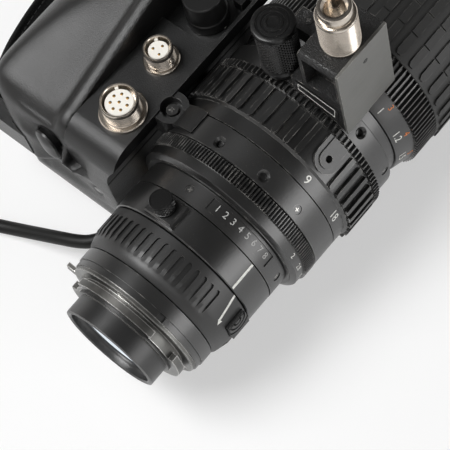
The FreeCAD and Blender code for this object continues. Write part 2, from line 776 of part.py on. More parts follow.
def drive_case():
    """The upper case, with its rounded back, the socket holes and the control tray."""
    diagonal = case_round * (1 - math.sqrt(0.5))
    steps = [(case_rear, case_floor), (case_front, case_floor), (case_front, case_top),
             (case_rear + case_round, case_top),
             ((case_rear + diagonal, case_top - diagonal), (case_rear, case_top - case_round))]
    case = side_profile(case_inner, case_split, steps)
    case = case.cut(barrel_clearance())
    recess = block((case_split - 1, case_inner - tray_wall), (tray_start, case_front + 1),
                   (case_top - tray_depth, case_top + 1))
    case = case.cut(recess)
    lug = post(lug_x, lug_center_y, lug_top - 13.0, lug_top, lug_radius)
    arm_steps = [(lug_x, lug_top - 13.0), (-30.2, lug_top - 3.0), (arm_reach, lug_top + 1.0),
                 (arm_reach, lug_top + 5.0), (-24.5, lug_top + 3.6), (-29.5, lug_top), (lug_x, lug_top)]
    arm = outline_face(arm_steps, lambda u, v: Vector(u, lug_center_y - arm_width / 2, v))
    arm = arm.extrude(Vector(0, arm_width, 0)).cut(rod(0, 200, 0, 0, band_outer + seat))
    bridge = block((case_inner - 2, lug_x), (lug_center_y - lug_radius, lug_center_y + lug_radius),
                   (lug_top - 13.0, lug_top))
    lug = lug.fuse([arm, bridge]).cut(rod(0, 200, 0, 0, band_outer + seat))
    case = case.fuse(lug)
    case = case.cut(post(lug_x, lug_center_y, lug_top - lug_sink, lug_top + 1, 4.6))
    case = case.cut(post(lug_x, lug_center_y, lug_top - lug_screw_length - 0.2, lug_top,
                         lug_screw_radius + seat))
    for x, y, rim, flange in (large_socket, small_socket):
        case = case.cut(post(x, y, case_top - 6.0, case_top + 1, rim))
    return case.cut(post(mode_knob[0], mode_knob[1], case_top - tray_depth - 6, case_top, 3.0 + running))


def palm_shell():
    """The moulded grip shell: three outlines, seen from above, behind and the side."""
    plan = [(case_inner, shell_rear), (rear_corner, shell_rear + rear_lean),
            ((palm_outer + 8.0, shell_rear + 13.5), (palm_outer, shell_rear + 33.0)),
            ((palm_outer + 2.2, 84.0), (palm_outer + 11.0, 101.0)),
            ((palm_outer + 18.0, 120.0), (palm_outer + 28.0, case_front)), (case_inner, case_front)]
    above = outline_face(plan, lambda u, v: Vector(u, v, -60)).extrude(Vector(0, 0, 140))
    back = [(case_inner, floor_level), (-94.0, floor_level),
            ((palm_outer + 7.0, floor_level + 6.5), (palm_outer, floor_level + 23.0)), (palm_outer, 8.0),
            ((palm_outer + 4.8, 28.0), (palm_outer + 19.0, 42.5)), ((-84.0, 50.8), (case_split, 57.0)),
            (case_inner, 57.0)]
    behind = outline_face(back, lambda u, v: Vector(u, 0, v)).extrude(Vector(0, 200, 0))
    side = [(shell_rear, wall_end), (shell_rear + chin_reach, floor_level + chin_rise),
            ((shell_rear + rest_start - 4.0, floor_level + 2.4), (shell_rear + rest_start, floor_level)),
            (hump_end, floor_level),
            ((hump_end + 5.0, rocker_level - 6.0), (hump_end + 11.0, rocker_level)),
            (case_front - 4.0, rocker_level),
            (case_front, rocker_level + 4.0), (case_front, 44.0), ((case_front - 5.0, 52.0), (118.0, 55.0)),
            (case_rear + case_round, case_top), ((case_rear + 3.5, case_top - 3.5),
            (case_rear, case_top - case_round)), ((case_rear - 1.5, case_top - case_round - 6),
            (shell_rear + 2.0, case_floor + 4.0)), (shell_rear, case_floor)]
    across = side_profile(0, -200, side)
    shell = above.common(behind).common(across)
    notch = block((case_split, 0), (0, 200), (case_floor, 90))
    shell = shell.cut([notch, barrel_clearance()])
    return shell


def rear_wall_bar(x, z, radius, straight, low, high):
    """An upright oval bar square to the sloping rear wall, between two depths behind its face."""
    inward = Vector(rear_lean, case_inner - rear_corner, 0).normalize()
    face_y = shell_rear + rear_lean * (x - case_inner) / (rear_corner - case_inner)
    start = Vector(x, face_y, z) + inward * low
    half = UP * straight / 2
    ends = [Part.makeCylinder(radius, high - low, start + lift, inward) for lift in (half, half * -1)]
    side = inward.cross(UP) * radius
    corners = [start + half + side, start + half - side, start - half - side, start - half + side]
    slab = Part.Face(Part.makePolygon(corners + corners[:1])).extrude(inward * (high - low))
    return ends[0].fuse([ends[1], slab]).removeSplitter()


def rear_wall_recesses():
    """The thumb recess, the record button's well with room for its travel, and a screw's recess."""
    thumb = rear_wall_bar(thumb_x, thumb_z, thumb_radius_out, thumb_straight, -20.0, thumb_depth)
    well = rear_wall_bar(thumb_x, record_z, record_radius + 0.2, record_straight, 0.0, thumb_depth + 6.0)
    x, z, radius = cover_screw
    return [thumb, well, rear_wall_bar(x, z, radius, 0.01, -1.0, 1.8)]


def record_button():
    return rear_wall_bar(thumb_x, record_z, record_radius, record_straight,
                         thumb_depth - record_proud, thumb_depth + 6.0 - record_travel - 0.3)


def control_wells():
    """The pockets for the rocker, its axle, the buttons and the slide switch."""
    x, y = rocker_place
    half_width, half_length = rocker_half
    base = rocker_level - 1
    wells = [block((x - half_width - 0.5, x + half_width + 0.5), (y - half_length - 1, y + half_length + 1),
                   (base, rocker_level + well_depth))]
    axle = Part.makeCylinder(rocker_axle + seat, 2 * half_width + 8,
                             Vector(x - half_width - 4, y, rocker_level + 3.0), Vector(1, 0, 0))
    wells.append(axle)
    wells.append(post(*return_place, base, rocker_level + well_depth, return_radius + 0.2))
    wells.append(post(*iris_button_place, base, rocker_level + well_depth, iris_button_radius + 0.2))
    x, y = iris_switch_place
    wells.append(block((x - 2.7, x + 2.7), (y - 2.5 - iris_switch_slide, y + 2.5 + iris_switch_slide),
                       (base, rocker_level + 3.0)))
    return wells


def zoom_rocker():
    """A two-way paddle on an axle, hollowed in the middle for two fingers."""
    x, y = rocker_place
    half_width, half_length = rocker_half
    top = rocker_level + 3.0
    low = rocker_level - rocker_drop
    steps = [(y - half_length, rocker_level + 0.5), (y - half_length + 0.5, low + 1.0),
             ((y - half_length + 6.0, low), (y - 4.0, low + 2.2)), (y + 4.0, low + 2.2),
             ((y + half_length - 6.0, low), (y + half_length - 0.5, low + 1.0)),
             (y + half_length, rocker_level + 0.5), (y + 3.0, top + 2.0), (y - 3.0, top + 2.0)]
    paddle = side_profile(x - half_width, x + half_width, steps)
    return paddle.cut(Part.makeCylinder(rocker_axle + running, 4 * half_width,
                                        Vector(x - 2 * half_width, y, top), Vector(1, 0, 0)))


def rocker_pin():
    x, y = rocker_place
    half_width = rocker_half[0]
    return Part.makeCylinder(rocker_axle, 2 * half_width + 8,
                             Vector(x - half_width - 4, y, rocker_level + 3.0), Vector(1, 0, 0))


def pressed_button(place, radius):
    """A round push button that stands out of the lower side."""
    button = post(*place, rocker_level - button_drop, rocker_level + well_depth - 2.0, radius)
    rim = [edge for edge in button.Edges if edge.Closed and edge.BoundBox.ZMax < rocker_level]
    return button.makeChamfer(0.5, rim)


def iris_switch():
    x, y = iris_switch_place
    slider = block((x - 2.5, x + 2.5), (y - 2.4, y + 2.4), (rocker_level - button_drop, rocker_level + 2.8))
    cuts = []
    for offset in (-1.4, 0.0, 1.4):
        cuts.append(block((x - 3, x + 3), (y + offset - 0.3, y + offset + 0.3),
                          (rocker_level - button_drop - 1, rocker_level - button_drop + 0.6)))
    return slider.cut(cuts)


def zoom_pinion():
    start = zoom_end - zoom_gear
    return pinion(start, zoom_end - face_gap, zoom_drive_angle, zoom_teeth, pinion_teeth, coarse_module,
                  (start - 8.0, zoom_end + 1.5, spindle_radius))


def iris_pinion():
    start = iris_start + iris_band
    return pinion(start, iris_end - face_gap, iris_drive_angle, iris_teeth, fine_pinion_teeth, fine_module,
                  (start - 1.5, iris_end + 6.0, spindle_radius))


def pinion_well(place, start, end, tip):
    return rod(start - 0.6, end + 0.6, place.x, place.z, tip + 0.6)


def gear_motor(place, front, direction, slack):
    """A motor with an offset gearbox, whose output hole takes the pinion's spindle."""
    ends = sorted((front, front + direction * gearbox_length))
    motor_ends = sorted((front + direction * gearbox_length,
                         front + direction * (gearbox_length + motor_length)))
    unit = Vector(place.x, 0, place.z).normalize()
    center = place + unit * motor_offset
    box = rod(ends[0] - slack, ends[1] + slack, center.x, center.z, motor_radius + 1 + slack)
    side = Vector(-unit.z, 0, unit.x) * (3.4 + slack)
    near = place - unit * (3.2 + slack)
    corners = [near + side, near - side, center - side, center + side, near + side]
    web = Part.Face(Part.makePolygon([Vector(c.x, ends[0] - slack, c.z) for c in corners]))
    web = web.extrude(Vector(0, ends[1] - ends[0] + 2 * slack, 0))
    can = rod(motor_ends[0] - slack, motor_ends[1] + slack, center.x, center.z, motor_radius + slack)
    return box.fuse([web, can])


def drives():
    """The two pinions and their gear motors, with the pockets that they need in the shell."""
    zoom, zoom_place = zoom_pinion()
    iris, iris_place = iris_pinion()
    zoom_front = zoom_end - zoom_gear - 2.0
    iris_front = iris_end + 2.0
    zoom_motor = gear_motor(zoom_place, zoom_front, -1, 0)
    iris_motor = gear_motor(iris_place, iris_front, 1, 0)
    pockets = [gear_motor(zoom_place, zoom_front, -1, seat), gear_motor(iris_place, iris_front, 1, seat),
               pinion_well(zoom_place, zoom_end - zoom_gear, zoom_end, coarse_module * (pinion_teeth / 2 + 1)),
               pinion_well(iris_place, iris_start + iris_band, iris_end, fine_module * (fine_pinion_teeth / 2 + 1))]
    for place, start, end in ((zoom_place, zoom_end - zoom_gear - 8.2, zoom_end + 1.7),
                              (iris_place, iris_start + iris_band - 1.7, iris_end + 6.2)):
        pockets.append(rod(start, end, place.x, place.z, spindle_radius + running))
    zoom_motor = zoom_motor.cut(rod(0, 150, zoom_place.x, zoom_place.z, spindle_radius + running))
    iris_motor = iris_motor.cut(rod(0, 150, iris_place.x, iris_place.z, spindle_radius + running))
    return zoom, iris, zoom_motor, iris_motor, pockets


def remote_socket(x, y, rim, flange):
    """A threaded metal shell with a round flange. The small one has a bayonet stud."""
    base = case_top - 5.0
    shell = post(x, y, base, case_top + socket_height, rim - seat)
    shell = shell.fuse(post(x, y, case_top, case_top + flange_height, flange))
    edge = [e for e in shell.Edges if e.Closed and abs(e.BoundBox.ZMin - case_top - flange_height) < 0.01
            and e.BoundBox.XMax - e.BoundBox.XMin > 2 * flange - 0.5]
    shell = shell.makeChamfer(0.4, edge)
    shell = shell.cut(post(x, y, case_top + socket_height - 7.5, case_top + socket_height + 1, rim - socket_wall))
    return shell


def socket_insert(x, y, rim):
    """The round plastic face that holds the pins, with a key slot."""
    face = post(x, y, case_top + socket_height - 7.5, case_top + socket_height - insert_drop,
                rim - socket_wall - 0.9)
    key = block((x - 0.7, x + 0.7), (y + rim - socket_wall - 2.0, y + rim), (case_top, case_top + 20))
    return face.cut(key)


def small_socket_shell():
    x, y, rim, flange = small_socket
    shell = remote_socket(*small_socket)
    stud = Part.makeCylinder(1.0, 1.3, Vector(x + rim - 0.4, y, case_top + 5.4), Vector(1, 0, 0))
    return shell.fuse(stud)


def lug_screw():
    head = post(lug_x, lug_center_y, lug_top - lug_sink, lug_top - lug_sink + 2.2, 3.0)
    shank = post(lug_x, lug_center_y, lug_top - lug_screw_length, lug_top - lug_sink, lug_screw_radius)
    return head.fuse(shank)


def mode_selector():
    """The selector knob on the tray: a skirt, a grip with a dished top and a spindle."""
    x, y = mode_knob
    floor = case_top - tray_depth
    skirt = post(x, y, floor + 0.3, floor + 6.0, mode_knob_skirt)
    grip = Part.makeCone(mode_knob_radius + 0.5, mode_knob_radius, mode_knob_top - floor - 6.0,
                         Vector(x, y, floor + 6.0), UP)
    edge = [e for e in grip.Edges if e.Closed and e.BoundBox.ZMin > mode_knob_top - 0.01]
    grip = grip.makeChamfer(0.6, edge)
    wings = block((x - 2.4, x + 2.4), (y, y + mode_knob_skirt), (floor + 6.0, mode_knob_top - 2.0))
    spindle = post(x, y, floor - 5.5, floor + 0.3, 3.0)
    return skirt.fuse([grip, wings, spindle])


def tray_switch():
    """The small two-way lever beside the selector."""
    x, y = tray_switch_place
    floor = case_top - tray_depth
    half_width, half_length = tray_switch_half
    return block((x - half_width, x + half_width), (y - half_length, y + half_length),
                 (floor, floor + tray_switch_height))


def module_space():
    """The rings under the drive module, with the room that they need."""
    return [rod(0, zoom_end + 0.6, 0, 0, rib_outer + case_gap),
            rod(0, focus_start - 1.5, 0, 0, front_band_outer + seat),
            rod(focus_start - 2.0, 300, 0, 0, grip_outer + 0.4)]


def module_housing():
    """The crackle-finished box of the flexible drive, with its foot on the front band."""
    x, y, z = module_x, module_y, module_z
    right = x[1] - module_cover
    body = block((x[0], right), y, z)
    back_edge = [e for e in body.Edges if abs(e.BoundBox.YMax - y[0]) < 0.01 and e.BoundBox.ZMin > z[1] - 0.01]
    body = body.makeFillet(2.0, back_edge)
    foot = block((foot_x[0], x[0]), (y[0], y[0] + foot_length), foot_z)
    rise = block((foot_x[1], x[0]), (y[0], y[0] + foot_length), (foot_z[1], foot_z[1] + 7.4))
    arm_start = clamp_y + clamp_radius + case_gap
    arm = block((clamp_x - 2.5, x[0]), (arm_start, y[0] + 25.0), (foot_z[1] + 5.4, foot_z[1] + 14.4))
    hollow = block((x[0] + module_wall, right), (y[0] + 7.1, y[1] - 1.2), (z[0] - 1, z[1] - 3.0))
    window = block((x[0] + module_wall, right - 1.0), (y[0] - 1, y[0] + 6.0), (56.0, z[1] - 3.4))
    body = body.fuse([foot, rise, arm]).cut([hollow, window])
    body = body.cut(module_space())
    body = body.cut(post(clamp_x, clamp_y, 30, clamp_base + 1, clamp_post + running))
    body = body.cut(post(*socket_center, z[1] - 4, z[1] + 1, socket_neck + seat))
    _, place = flex_pinion()
    return body.cut(rod(y[0] + 4.0, y[1] + 1, place.x, place.z, flex_spindle + running))


def module_cover_plate():
    x, y, z = module_x, module_y, module_z
    plate = block((x[1] - module_cover, x[1]), y, z)
    return plate.cut(module_space())


def flex_pinion():
    shaft = (module_y[0] + 4.2, module_y[1] - 0.2, flex_spindle)
    reach = focus_pitch + pinion_pitch + mesh_gap
    flex_angle = math.degrees(math.asin(socket_center[0] / reach))
    gear, place = pinion(focus_gear_start + 0.4, module_y[1] - 1.6, flex_angle, focus_teeth, pinion_teeth,
                         coarse_module, shaft)
    bevel = Part.makeCone(4.6, 2.4, 2.2, Vector(place.x, socket_center[1] - 6.8, place.z), AXIS)
    return gear.fuse(bevel), place


def flex_shaft():
    """The upright shaft in the socket. The cable's square end turns it."""
    _, place = flex_pinion()
    x, y = socket_center
    shaft = post(x, y, place.z + 4.8, socket_top - socket_depth - face_gap, flex_shaft_radius)
    bevel = Part.makeCone(2.4, 4.6, 2.2, Vector(x, y, place.z + 4.8), UP)
    slot = block((x - 0.9, x + 0.9), (y - 0.9, y + 0.9), (socket_top - socket_depth - 6.0, socket_top))
    return shaft.fuse(bevel).cut(slot)


def flex_socket():
    """The threaded chrome socket that takes the flexible drive cable."""
    x, y = socket_center
    top = module_z[1]
    body = post(x, y, top, socket_top - 5.0, socket_tube)
    neck = post(x, y, socket_top - 5.0, socket_top, socket_neck)
    spigot = post(x, y, top - 3.0, top, socket_neck)
    body = body.fuse([neck, spigot])
    bore = post(x, y, socket_top - socket_depth, socket_top + 1, socket_bore)
    through = post(x, y, top - 4.0, socket_top, flex_shaft_radius + running)
    return body.cut([bore, through])


def clamp_knob():
    """The tall knurled knob, bored for its stud."""
    low = clamp_base
    steps = [(0, low), (clamp_radius - 0.4, low), (clamp_radius, low + 0.6), (clamp_radius, low + 2.2),
             (clamp_radius - 0.9, low + 3.0), (clamp_radius - 0.9, clamp_top - 3.4),
             (clamp_radius, clamp_top - 2.6), (clamp_radius, clamp_top - 0.6),
             (clamp_radius - 0.6, clamp_top), (0, clamp_top)]
    corners = [Vector(clamp_x + radius, clamp_y, z) for radius, z in steps]
    face = Part.Face(Part.makePolygon(corners + corners[:1]))
    head = face.revolve(Vector(clamp_x, clamp_y, 0), UP, 360)
    return head.cut(post(clamp_x, clamp_y, low - 1, low + stud_grip + seat, clamp_post + seat))


def clamp_stud():
    """The steel stud in the knob, which pins the module's foot to the barrel."""
    return post(clamp_x, clamp_y, neck_outer - stud_sink, clamp_base + stud_grip, clamp_post)


def hand_strap():
    """A bowed band that narrows at both ends, from the rear anchor to the front one."""
    edges = []
    sides = []
    for offset in (-strap_thick / 2, strap_thick / 2):
        line = [Vector(x - offset, y, strap_low) for x, y in strap_line]
        edges += [Part.Arc(*line[0:3]).toShape(), Part.Arc(*line[2:5]).toShape()]
        sides.append(line)
    for index in (0, 4):
        edges.append(Part.LineSegment(sides[0][index], sides[1][index]).toShape())
    wire = Part.Wire(Part.__sortEdges__(edges))
    band = Part.Face(wire).extrude(Vector(0, 0, strap_high - strap_low))
    rear, front = strap_line[0][1] - 1, strap_line[4][1] + 1
    outline = [(rear, strap_high + 1), (rear, strap_high - strap_end), (strap_full[0], strap_low - 1),
               (strap_full[1], strap_low - 1), (front, strap_high - strap_end), (front, strap_high + 1)]
    return band.common(side_profile(palm_outer - 30, palm_outer + 30, outline))


def strap_anchors():
    """The two bars that stand out of the shell and carry the strap's ends."""
    anchors = []
    half = strap_thick / 2
    for (x, y), forward in ((strap_line[0], -1), (strap_line[4], 1)):
        span = sorted((y, y + forward * anchor_length))
        anchors.append(block((x - half, rear_corner), span, (anchor_low, anchor_high)))
    return anchors


def cable_path():
    """Straight runs joined by tangent arcs through the cable's points, and the arcs' radii."""
    points = [Vector(*point) for point in cable_points]
    edges = []
    radii = []
    last = points[0]
    for before, corner, after in zip(points, points[1:], points[2:]):
        run_in, run_out = corner - before, after - corner
        reach = cable_bend * min(run_in.Length, run_out.Length)
        half_turn = run_in.getAngle(run_out) / 2
        into, out = Vector(run_in).normalize(), Vector(run_out).normalize()
        start, end = corner - into * reach, corner + out * reach
        radius = reach / math.tan(half_turn)
        inner = (out - into).normalize()
        middle = corner + inner * (radius / math.cos(half_turn) - radius)
        edges.append(Part.LineSegment(last, start).toShape())
        edges.append(Part.Arc(start, middle, end).toShape())
        radii.append(round(radius, 1))
        last = end
    edges.append(Part.LineSegment(last, points[-1]).toShape())
    return Part.Wire(edges), radii


def camera_cable():
    path, radii = cable_path()
    print("cable length", round(path.Length, 1), "radii", radii)
    direction = Vector(*cable_points[1]) - Vector(*cable_points[0])
    circle = Part.Wire(Part.makeCircle(cable_diameter / 2, Vector(*cable_points[0]), direction))
    tube = path.makePipeShell([circle], True, True)
    print("cable volume ratio", round(tube.Volume / (circle_area(cable_diameter / 2) * path.Length), 4))
    return tube


def circle_area(radius):
    return math.pi * radius ** 2


def stepped_bar(start, direction, steps):
    """A turned bar from a point along a direction, from (length, radius) steps."""
    unit = Vector(direction).normalize()
    pieces = []
    for length, radius in steps:
        pieces.append(Part.makeCylinder(radius, length, start, unit))
        start = start + unit * length
    return pieces[0].multiFuse(pieces[1:])


def cable_gland():
    """The sleeve in the rear wall that the cable comes out of."""
    tip = Vector(*cable_points[0])
    back = tip - Vector(*cable_points[1])
    return stepped_bar(tip, back, [(gland_length, gland_radius)])


def camera_plug():
    """A round plug: a strain relief, a gripped sleeve and a keyed nose."""
    end, before = Vector(*cable_points[-1]), Vector(*cable_points[-2])
    nose = plug_length - plug_sleeve - 8.0
    return stepped_bar(end, end - before, [(8.0, cable_diameter * 0.8), (plug_sleeve, plug_radius),
                                           (nose, plug_radius - 1.6)])


def build_drive_unit():
    zoom, iris, zoom_motor, iris_motor, pockets = drives()
    anchors = strap_anchors()
    gland = cable_gland()
    shell = palm_shell().cut(pockets + control_wells() + rear_wall_recesses())
    anchors = [anchor.cut(shell) for anchor in anchors]
    shell = shell.cut(gland)
    save("palm_shell", shell)
    save("drive_case", drive_case().cut(pockets))
    save("zoom_pinion", zoom)
    save("iris_pinion", iris)
    save("zoom_motor", zoom_motor)
    save("iris_motor", iris_motor)
    save("record_button", record_button())
    save("zoom_rocker", zoom_rocker())
    save("rocker_pin", rocker_pin())
    save("return_button", pressed_button(return_place, return_radius))
    save("iris_button", pressed_button(iris_button_place, iris_button_radius))
    save("iris_switch", iris_switch())
    save("large_socket", remote_socket(*large_socket))
    save("small_socket", small_socket_shell())
    inserts = [socket_insert(x, y, rim) for x, y, rim, flange in (large_socket, small_socket)]
    save("socket_inserts", Part.makeCompound(inserts))
    save("lug_screw", lug_screw())
    save("mode_selector", mode_selector())
    save("tray_switch", tray_switch())
    save("hand_strap", hand_strap())
    save("strap_anchors", Part.makeCompound(anchors))
    save("cable_gland", gland)
    save("camera_cable", camera_cable())
    save("camera_plug", camera_plug())


def build_module():
    save("module_housing", module_housing())
    save("module_cover", module_cover_plate())
    save("flex_pinion", flex_pinion()[0])
    save("flex_shaft", flex_shaft())
    save("flex_socket", flex_socket())
    save("clamp_knob", clamp_knob())
    save("clamp_stud", clamp_stud())


def build():
    save("rear_tube", rear_tube())
    save("bayonet_mount", bayonet_mount())
    save("bayonet_screws", bayonet_screws())
    save("rear_barrel", rear_barrel())
    save("macro_ring", macro_ring())
    save("macro_button", macro_button())
    save("back_focus_ring", back_focus_ring())
    save("back_focus_screw", back_focus_screw())
    save("number_ring", number_ring())
    save("body_screws", body_screws())
    save("main_barrel", main_barrel())
    save("iris_ring", iris_ring())
    save("zoom_ring", zoom_ring())
    save("front_barrel", front_barrel())
    save("focus_ring", focus_ring())
    save("focus_grip", focus_grip())
    save("front_rim", front_rim())
    optics()
    build_drive_unit()
    build_module()


build()
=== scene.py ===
# %% [markdown]
# # A broadcast zoom lens on a white table
#
# The solids of the lens come from CAD, already in their places. This lesson dresses them: it
# gives every surface a finish, adds the marks, screws, knurls and threads that are too fine
# for the solids, and rebuilds the soft pieces. The optical axis is +Y, towards the front of the
# lens, and +Z is up. All lengths are metres, so MM turns millimetres into them.

# %% The frame
import json
import math

import bmesh
import bpy
from mathutils import Matrix, Vector


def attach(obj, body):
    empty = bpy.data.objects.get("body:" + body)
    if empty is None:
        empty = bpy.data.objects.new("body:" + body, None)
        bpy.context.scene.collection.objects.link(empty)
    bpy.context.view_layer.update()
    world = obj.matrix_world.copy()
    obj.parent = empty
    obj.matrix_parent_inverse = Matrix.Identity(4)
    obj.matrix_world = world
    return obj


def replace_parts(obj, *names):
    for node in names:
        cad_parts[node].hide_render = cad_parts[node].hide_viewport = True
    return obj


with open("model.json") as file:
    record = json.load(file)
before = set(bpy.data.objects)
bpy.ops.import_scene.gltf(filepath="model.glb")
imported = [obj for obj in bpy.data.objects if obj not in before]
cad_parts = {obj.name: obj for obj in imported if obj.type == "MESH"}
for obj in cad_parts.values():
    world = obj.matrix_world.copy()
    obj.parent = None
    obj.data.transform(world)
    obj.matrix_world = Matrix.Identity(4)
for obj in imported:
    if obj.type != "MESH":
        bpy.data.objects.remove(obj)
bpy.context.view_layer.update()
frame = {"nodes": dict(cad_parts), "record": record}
nodes = frame["nodes"]
MM = 0.001
BODY = "lens_body"

# %% [markdown]
# ## The camera
#
# The photograph was taken from above the camera end of the lens, with a long lens, so the
# perspective is weak. The camera's place and its three directions were found by matching the
# rings' ellipses, and they are written here as plain vectors.

# %% The camera
CAMERA_PLACE = Vector((0.28663, -0.11489, 0.67005))
CAMERA_RIGHT = Vector((0.754012, 0.637796, -0.157106))
CAMERA_UP = Vector((-0.536124, 0.735748, 0.413819))
FOCAL_LENGTH = 144.0


def linked(name, data):
    """An object of some data, put in the scene."""
    made = bpy.data.objects.new(name, data)
    bpy.context.collection.objects.link(made)
    return made


camera_data = bpy.data.cameras.new("view")
camera_data.sensor_width = 36.0
camera_data.lens = FOCAL_LENGTH
camera_data.clip_end = 20.0
camera = linked("view", camera_data)
camera_back = CAMERA_RIGHT.cross(CAMERA_UP).normalized()
camera.matrix_world = Matrix.Translation(CAMERA_PLACE) @ Matrix(
    (CAMERA_RIGHT, CAMERA_UP, camera_back)).transposed().to_4x4()
bpy.context.scene.camera = camera
print("camera", [round(c, 3) for c in CAMERA_PLACE], "angle", round(math.degrees(camera_data.angle), 2))

# %% [markdown]
# ## The camera cable
#
# A lens of this kind has a short cable that ends in a round plug for the camera. It leaves a
# sleeve behind the drive unit, sinks to the table and lies in one slack curve. A NURBS curve
# that follows the route's points stays smooth, which a chain of arcs wouldn't.

# %% The camera cable
CABLE_DIAMETER = 6.2 * MM
CABLE_REST = -43.4
PLUG_REST = -38.2
CABLE_POINTS = (
    (-47.5, 28.2, -29.0), (-51.9, 22.2, -30.2), (-58.0, 18.6, -31.4), (-68.0, 15.1, -34.0),
    (-80.5, 11.3, -38.6), (-93.0, 7.2, -42.3), (-108.5, 0.8, CABLE_REST), (-122.5, -10.5, CABLE_REST),
    (-130.5, -27.5, CABLE_REST), (-128.5, -46.5, CABLE_REST + 0.2), (-117.0, -62.0, CABLE_REST + 2.6),
    (-101.5, -72.5, PLUG_REST), (-86.0, -82.0, PLUG_REST))


def smooth_curve(name, points, thickness):
    """A round NURBS curve whose control points are in millimetres. Their radius sizes it."""
    data = bpy.data.curves.new(name, "CURVE")
    data.dimensions = "3D"
    data.bevel_depth = 1.0
    data.bevel_resolution = 6
    data.use_fill_caps = True
    spline = data.splines.new("NURBS")
    spline.points.add(len(points) - 1)
    for point, place in zip(spline.points, points):
        point.co = (*(Vector(place) * MM), 1.0)
        point.radius = thickness / 2
    spline.order_u = 3
    spline.use_endpoint_u = True
    spline.resolution_u = 12
    return linked(name, data)


cable = smooth_curve("cable", CABLE_POINTS, CABLE_DIAMETER)
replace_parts(cable, "camera_cable")
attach(cable, BODY)
print("cable points", len(CABLE_POINTS))

# %% [markdown]
# ## Shader arithmetic
#
# A procedural finish is a sum of masks and noises. Written with nodes by hand it takes pages,
# so a small class wraps a socket and lets Python's own + - * / build the Math nodes. Any other
# node comes from one method, which takes the node's type, its settings and its inputs.

# %% Shader arithmetic
class Wire:
    """A node socket that arithmetic works on."""

    def __init__(self, finish, socket):
        self.finish = finish
        self.socket = socket

    def math(self, operation, *others):
        return self.finish.node("ShaderNodeMath", {"operation": operation}, self, *others)

    def __add__(self, other):
        return self.math("ADD", other)

    def __mul__(self, other):
        return self.math("MULTIPLY", other)

    def __sub__(self, other):
        return self.math("SUBTRACT", other)

    def __rsub__(self, other):
        return self.finish.node("ShaderNodeMath", {"operation": "SUBTRACT"}, other, self)

    __radd__ = __add__
    __rmul__ = __mul__

    def above(self, low, high):
        """0 below low, 1 above high, smooth between."""
        return self.finish.node("ShaderNodeMapRange", {"interpolation_type": "SMOOTHSTEP"},
                                self, low, high, 0.0, 1.0)


finishes = {}


class Finish:
    """A material that is built up by calls, and kept in finishes under its name."""

    def __init__(self, name, colour, roughness=0.5, metallic=0.0, **sockets):
        finishes[name] = self
        self.material = bpy.data.materials.new(name)
        self.material.use_nodes = True
        self.tree = self.material.node_tree
        self.shader = self.tree.nodes["Principled BSDF"]
        self.set("Base Color", (*colour, 1.0))
        self.set("Roughness", roughness)
        self.set("Metallic", metallic)
        for socket, value in sockets.items():
            self.set(socket.replace("_", " "), value)
        self.place = self.node("ShaderNodeTexCoord", out="Object")

    def node(self, kind, settings=None, *inputs, out=0, **named):
        made = self.tree.nodes.new(kind)
        for key, value in (settings or {}).items():
            setattr(made, key, value)
        pairs = list(zip(made.inputs, inputs))
        pairs += [(made.inputs[key.replace("_", " ")], value) for key, value in named.items()]
        for socket, value in pairs:
            self.feed(socket, value)
        return Wire(self, made.outputs[out])

    def feed(self, socket, value):
        """Links a wire to a socket, or gives the socket a value."""
        if isinstance(value, Wire):
            self.tree.links.new(value.socket, socket)
        elif value is not None:
            socket.default_value = value

    def set(self, socket, value):
        self.feed(self.shader.inputs[socket], value)

    def noise(self, scale, detail=2.0, roughness=0.5, place=None):
        return self.node("ShaderNodeTexNoise", None, place or self.place, Scale=scale, Detail=detail,
                         Roughness=roughness)

    def mix(self, mask, first, second):
        made = self.tree.nodes.new("ShaderNodeMix")
        made.data_type = "RGBA"
        self.feed(made.inputs[0], mask)
        for socket, colour in ((made.inputs[6], first), (made.inputs[7], second)):
            self.feed(socket, colour if isinstance(colour, Wire) else (*colour, 1.0))
        return Wire(self, made.outputs[2])

    def bump(self, height, depth):
        """A bump from a height that varies between 0 and 1, over a depth in metres."""
        self.set("Normal", self.node("ShaderNodeBump", None, Height=height, Distance=depth))

    def edge_mask(self, radius):
        """1 on edges that stick out, from how far a rounded normal leans away from the flat one."""
        rounded = self.node("ShaderNodeBevel", {"samples": 4}, radius)
        flat = self.node("ShaderNodeNewGeometry", out="Normal")
        dot = self.node("ShaderNodeVectorMath", {"operation": "DOT_PRODUCT"}, rounded, flat, out="Value")
        return (1.0 - dot).above(0.02, 0.16)


print("shader helpers ready")

# %% [markdown]
# ## Black metal and worn edges
#
# The barrel is anodised aluminium: nearly black, with a satin sheen, fine dust, and bare metal
# where hands have worn the edges. The wear is a mask of the edges broken up by a noise. The
# rounding of a CAD edge is read by a Bevel node, so no edge needs more geometry.

# %% Black metal
def black_metal(name, colour, roughness, wear, dust=0.3, sheen=0.85):
    """Satin black metal. wear is how much of the edges is rubbed bare."""
    finish = Finish(name, colour, roughness, Specular_IOR_Level=sheen)
    broad = finish.noise(60.0, 4.0)
    fine = finish.noise(900.0, 2.0)
    specks = finish.noise(2600.0, 1.0).above(0.70, 0.76) * broad.above(0.45, 0.6) * dust
    rubbed = finish.edge_mask(0.35 * MM) * (finish.noise(260.0, 3.0) + wear - 1.0).above(-0.05, 0.25)
    tone = finish.mix(broad, [c * 0.82 for c in colour], [c * 1.2 for c in colour])
    tone = finish.mix(specks, tone, (0.3, 0.29, 0.27))
    finish.set("Base Color", finish.mix(rubbed, tone, (0.34, 0.33, 0.31)))
    finish.set("Roughness", (roughness - 0.06) + broad * 0.12 - rubbed * 0.12)
    finish.bump(fine, 0.02 * MM)


